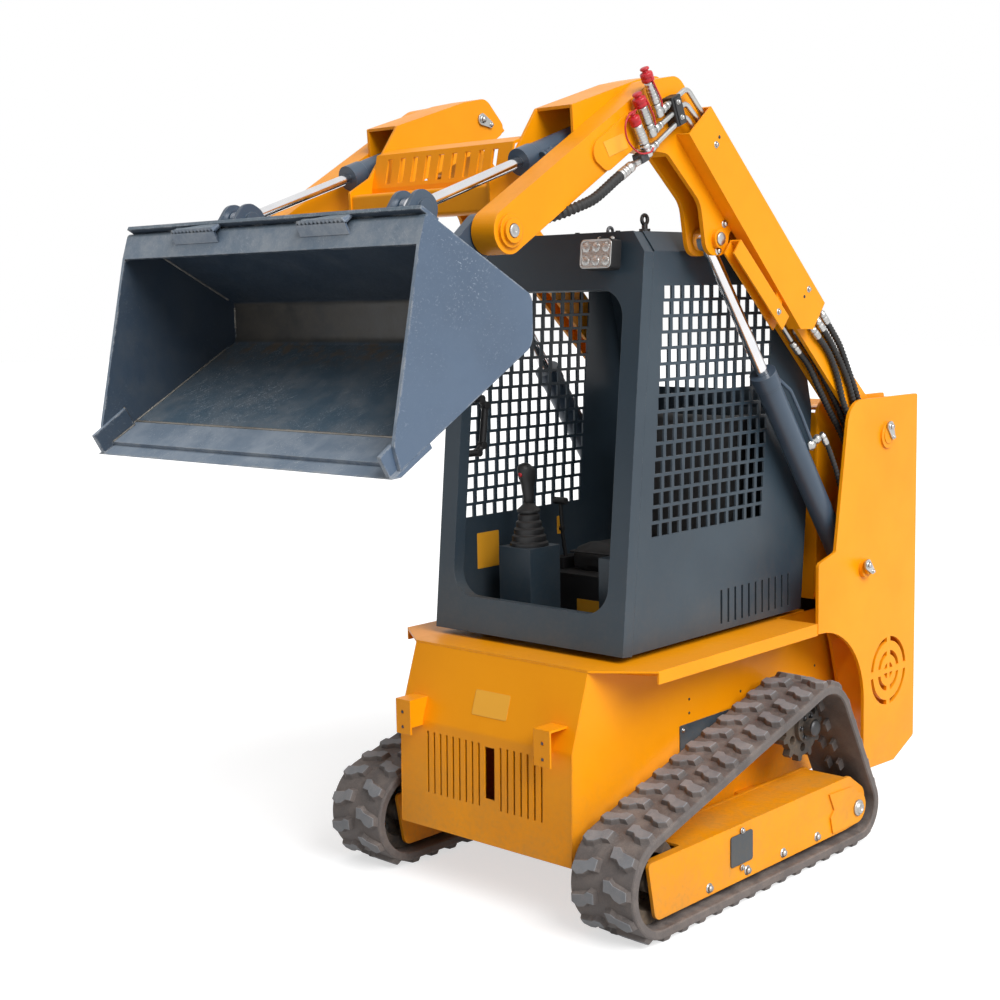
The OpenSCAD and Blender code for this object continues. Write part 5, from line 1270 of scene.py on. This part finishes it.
def makeBay():
    face, half, low, high = bay["rear"], bay["half"], bay["low"], bay["high"]
    fins = [[(-half + 30, face + 14, z), (half - 30, face + 14, z)] for z in range(low, high, bay["finGap"])]
    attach(tubes("coolerFins", fins, bay["finSize"], oiledSteel, 0, 12, 60, True), "base")
    for name, x0, z0, x1, z1 in (("Left", half - 34, low - 16, half, high + 4), ("Right", -half, low - 16, -half + 34,
    high + 4),
                                 ("Top", -half, high, half, high + 52), ("Low", -half, low - 46, half, low - 10)):
        plate("coolerTank" + name, [(x, face - 0.5, z) for x, z in roundedBox(x0, z0, x1, z1, 8)], (0, 30, 0), "base",
                blackPlastic, 3)
    bolts("coolerBolts", [((x, face + 29, z), (0, 1, 0)) for x in (-205, 205) for z in (low, 500, 700, high)], "base",
            6, 5, 6, 1.4)
    cz, cy = bay["guard"]
    wires = [[(r * math.cos(k * math.pi / 24), cy,
            cz + r * math.sin(k * math.pi / 24)) for k in range(49)] for r in bay["rings"]]
    wires += [[(30 * math.cos(a), cy, cz + 30 * math.sin(a)), (196 * math.cos(a), cy, cz + 196 * math.sin(a)),
            (212 * math.cos(a), face + 26, cz + 212 * math.sin(a))] for a in (0.3, math.pi - 0.3, math.pi + 0.3,
            -0.3)]
    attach(tubes("fanGuard", wires, 2.4, oiledSteel, 0, 12, 8, True), "base")
    turned("fanHub", (0, face + 20, cz), (0, 1, 0), [(44, 0), (44, 6), (38, 9), (22, 10), (20, 14), (1, 14)], "base",
            blackPlastic, "trim")
    turned("coolerCap", (-150, face + 14, high + 51), (0, 0, 1),
            [(14, 0), (14, 6), (22, 7), (22, 15), (18, 18), (1, 18)], "base", zincSteel, "steel", 24)
    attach(tubes("coolerHose", [[(150, face + 14, high + 40), (150, face + 10, 960), (150, 850, 992),
            (150, 790, 985), (150, 765, 938)]], 17, hoseRubber), "base")
    plate("rockerCover", [(x, y, bay["top"] - 1) for x, y in roundedBox(-82, 630, 96, 868, 22)], (0, 0, 52), "base",
            castIron, 9)
    bolts("rockerBolts", [((x, y, bay["top"] + 50), (0, 0, 1)) for x in (-50, 64) for y in (670, 750, 830)], "base",
            8, 9, 6, 1.5)
    turned("airFilter", bay["filter"], (1, 0, 0), [(40, 0), (50, 3), (54, 8), (54, 44), (57, 46), (57, 54), (54, 56),
            (54, 100), (48, 108), (24, 112), (22, 132), (1, 132)], "base", blackPlastic, "trim", 40)


makeBay()
print("engine bay dressed")

# padded seat: cushion and backrest swollen by a short cloth run
pads = dict(voxel=0.006, pressure=4.0, frames=18, cap=0.014)


def makePad(name, profile, halfWidth, inset):
    bm = bmesh.new()
    pts = [(y, z) for y, z in profile]
    ringA = [bm.verts.new(at(-halfWidth + inset, y, z)) for y, z in pts]
    ringB = [bm.verts.new(at(halfWidth - inset, y, z)) for y, z in pts]
    n = len(pts)
    for k in range(n):
        bm.faces.new((ringA[k], ringA[(k + 1) % n], ringB[(k + 1) % n], ringB[k]))
    bm.faces.new(ringA[::-1])
    bm.faces.new(ringB)
    mesh = meshFrom(bm, name)
    piece = linked(name, mesh)
    bpy.context.view_layer.objects.active = piece
    remesh = piece.modifiers.new("remesh", "REMESH")
    remesh.mode, remesh.voxel_size = "VOXEL", pads["voxel"]
    smooth = piece.modifiers.new("smooth", "SMOOTH")
    smooth.factor, smooth.iterations = 0.5, 12
    bpy.context.view_layer.update()
    base = bpy.data.meshes.new_from_object(piece.evaluated_get(bpy.context.evaluated_depsgraph_get()))
    piece.modifiers.clear()
    piece.data = base
    start = [v.co.copy() for v in base.vertices]
    cloth = piece.modifiers.new("swell", "CLOTH")
    cloth.settings.use_pressure = True
    cloth.settings.uniform_pressure_force = pads["pressure"]
    cloth.settings.effector_weights.gravity = 0
    cloth.point_cache.frame_start, cloth.point_cache.frame_end = 1, pads["frames"]
    for f in range(1, pads["frames"] + 1):
        scene.frame_set(f)
    swollen = bpy.data.meshes.new_from_object(piece.evaluated_get(bpy.context.evaluated_depsgraph_get()))
    piece.modifiers.clear()
    for i, v in enumerate(swollen.vertices):
        move = v.co - start[i]
        if move.length > pads["cap"]:
            v.co = start[i] + move.normalized() * pads["cap"]
    piece.data = swollen
    scene.frame_set(1)
    piece.data.materials.clear()
    piece.data.materials.append(vinyl)
    for f in piece.data.polygons:
        f.use_smooth = True
    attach(piece, "base")
    return piece


cushion = makePad("seatCushion", [(84, 808), (84, 852), (104, 872), (380, 862), (396, 850), (396, 808)], 212, 4)
makePad("seatBack", [(396, 872), (412, 1256), (428, 1268), (452, 1268), (462, 1256), (452, 830), (410, 830)], 205, 4)
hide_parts("seat")
welt = tubes("seatWelt", [[(-206, 84, 858), (0, 80, 862), (206, 84, 858), (212, 240, 860), (208, 385, 858), (0, 390,
860), (-208, 385, 858), (-212, 240, 860), (-206, 84, 858)]],
             3, vinyl, 0, 12, 6)
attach(welt, "base")
print("seat padded")
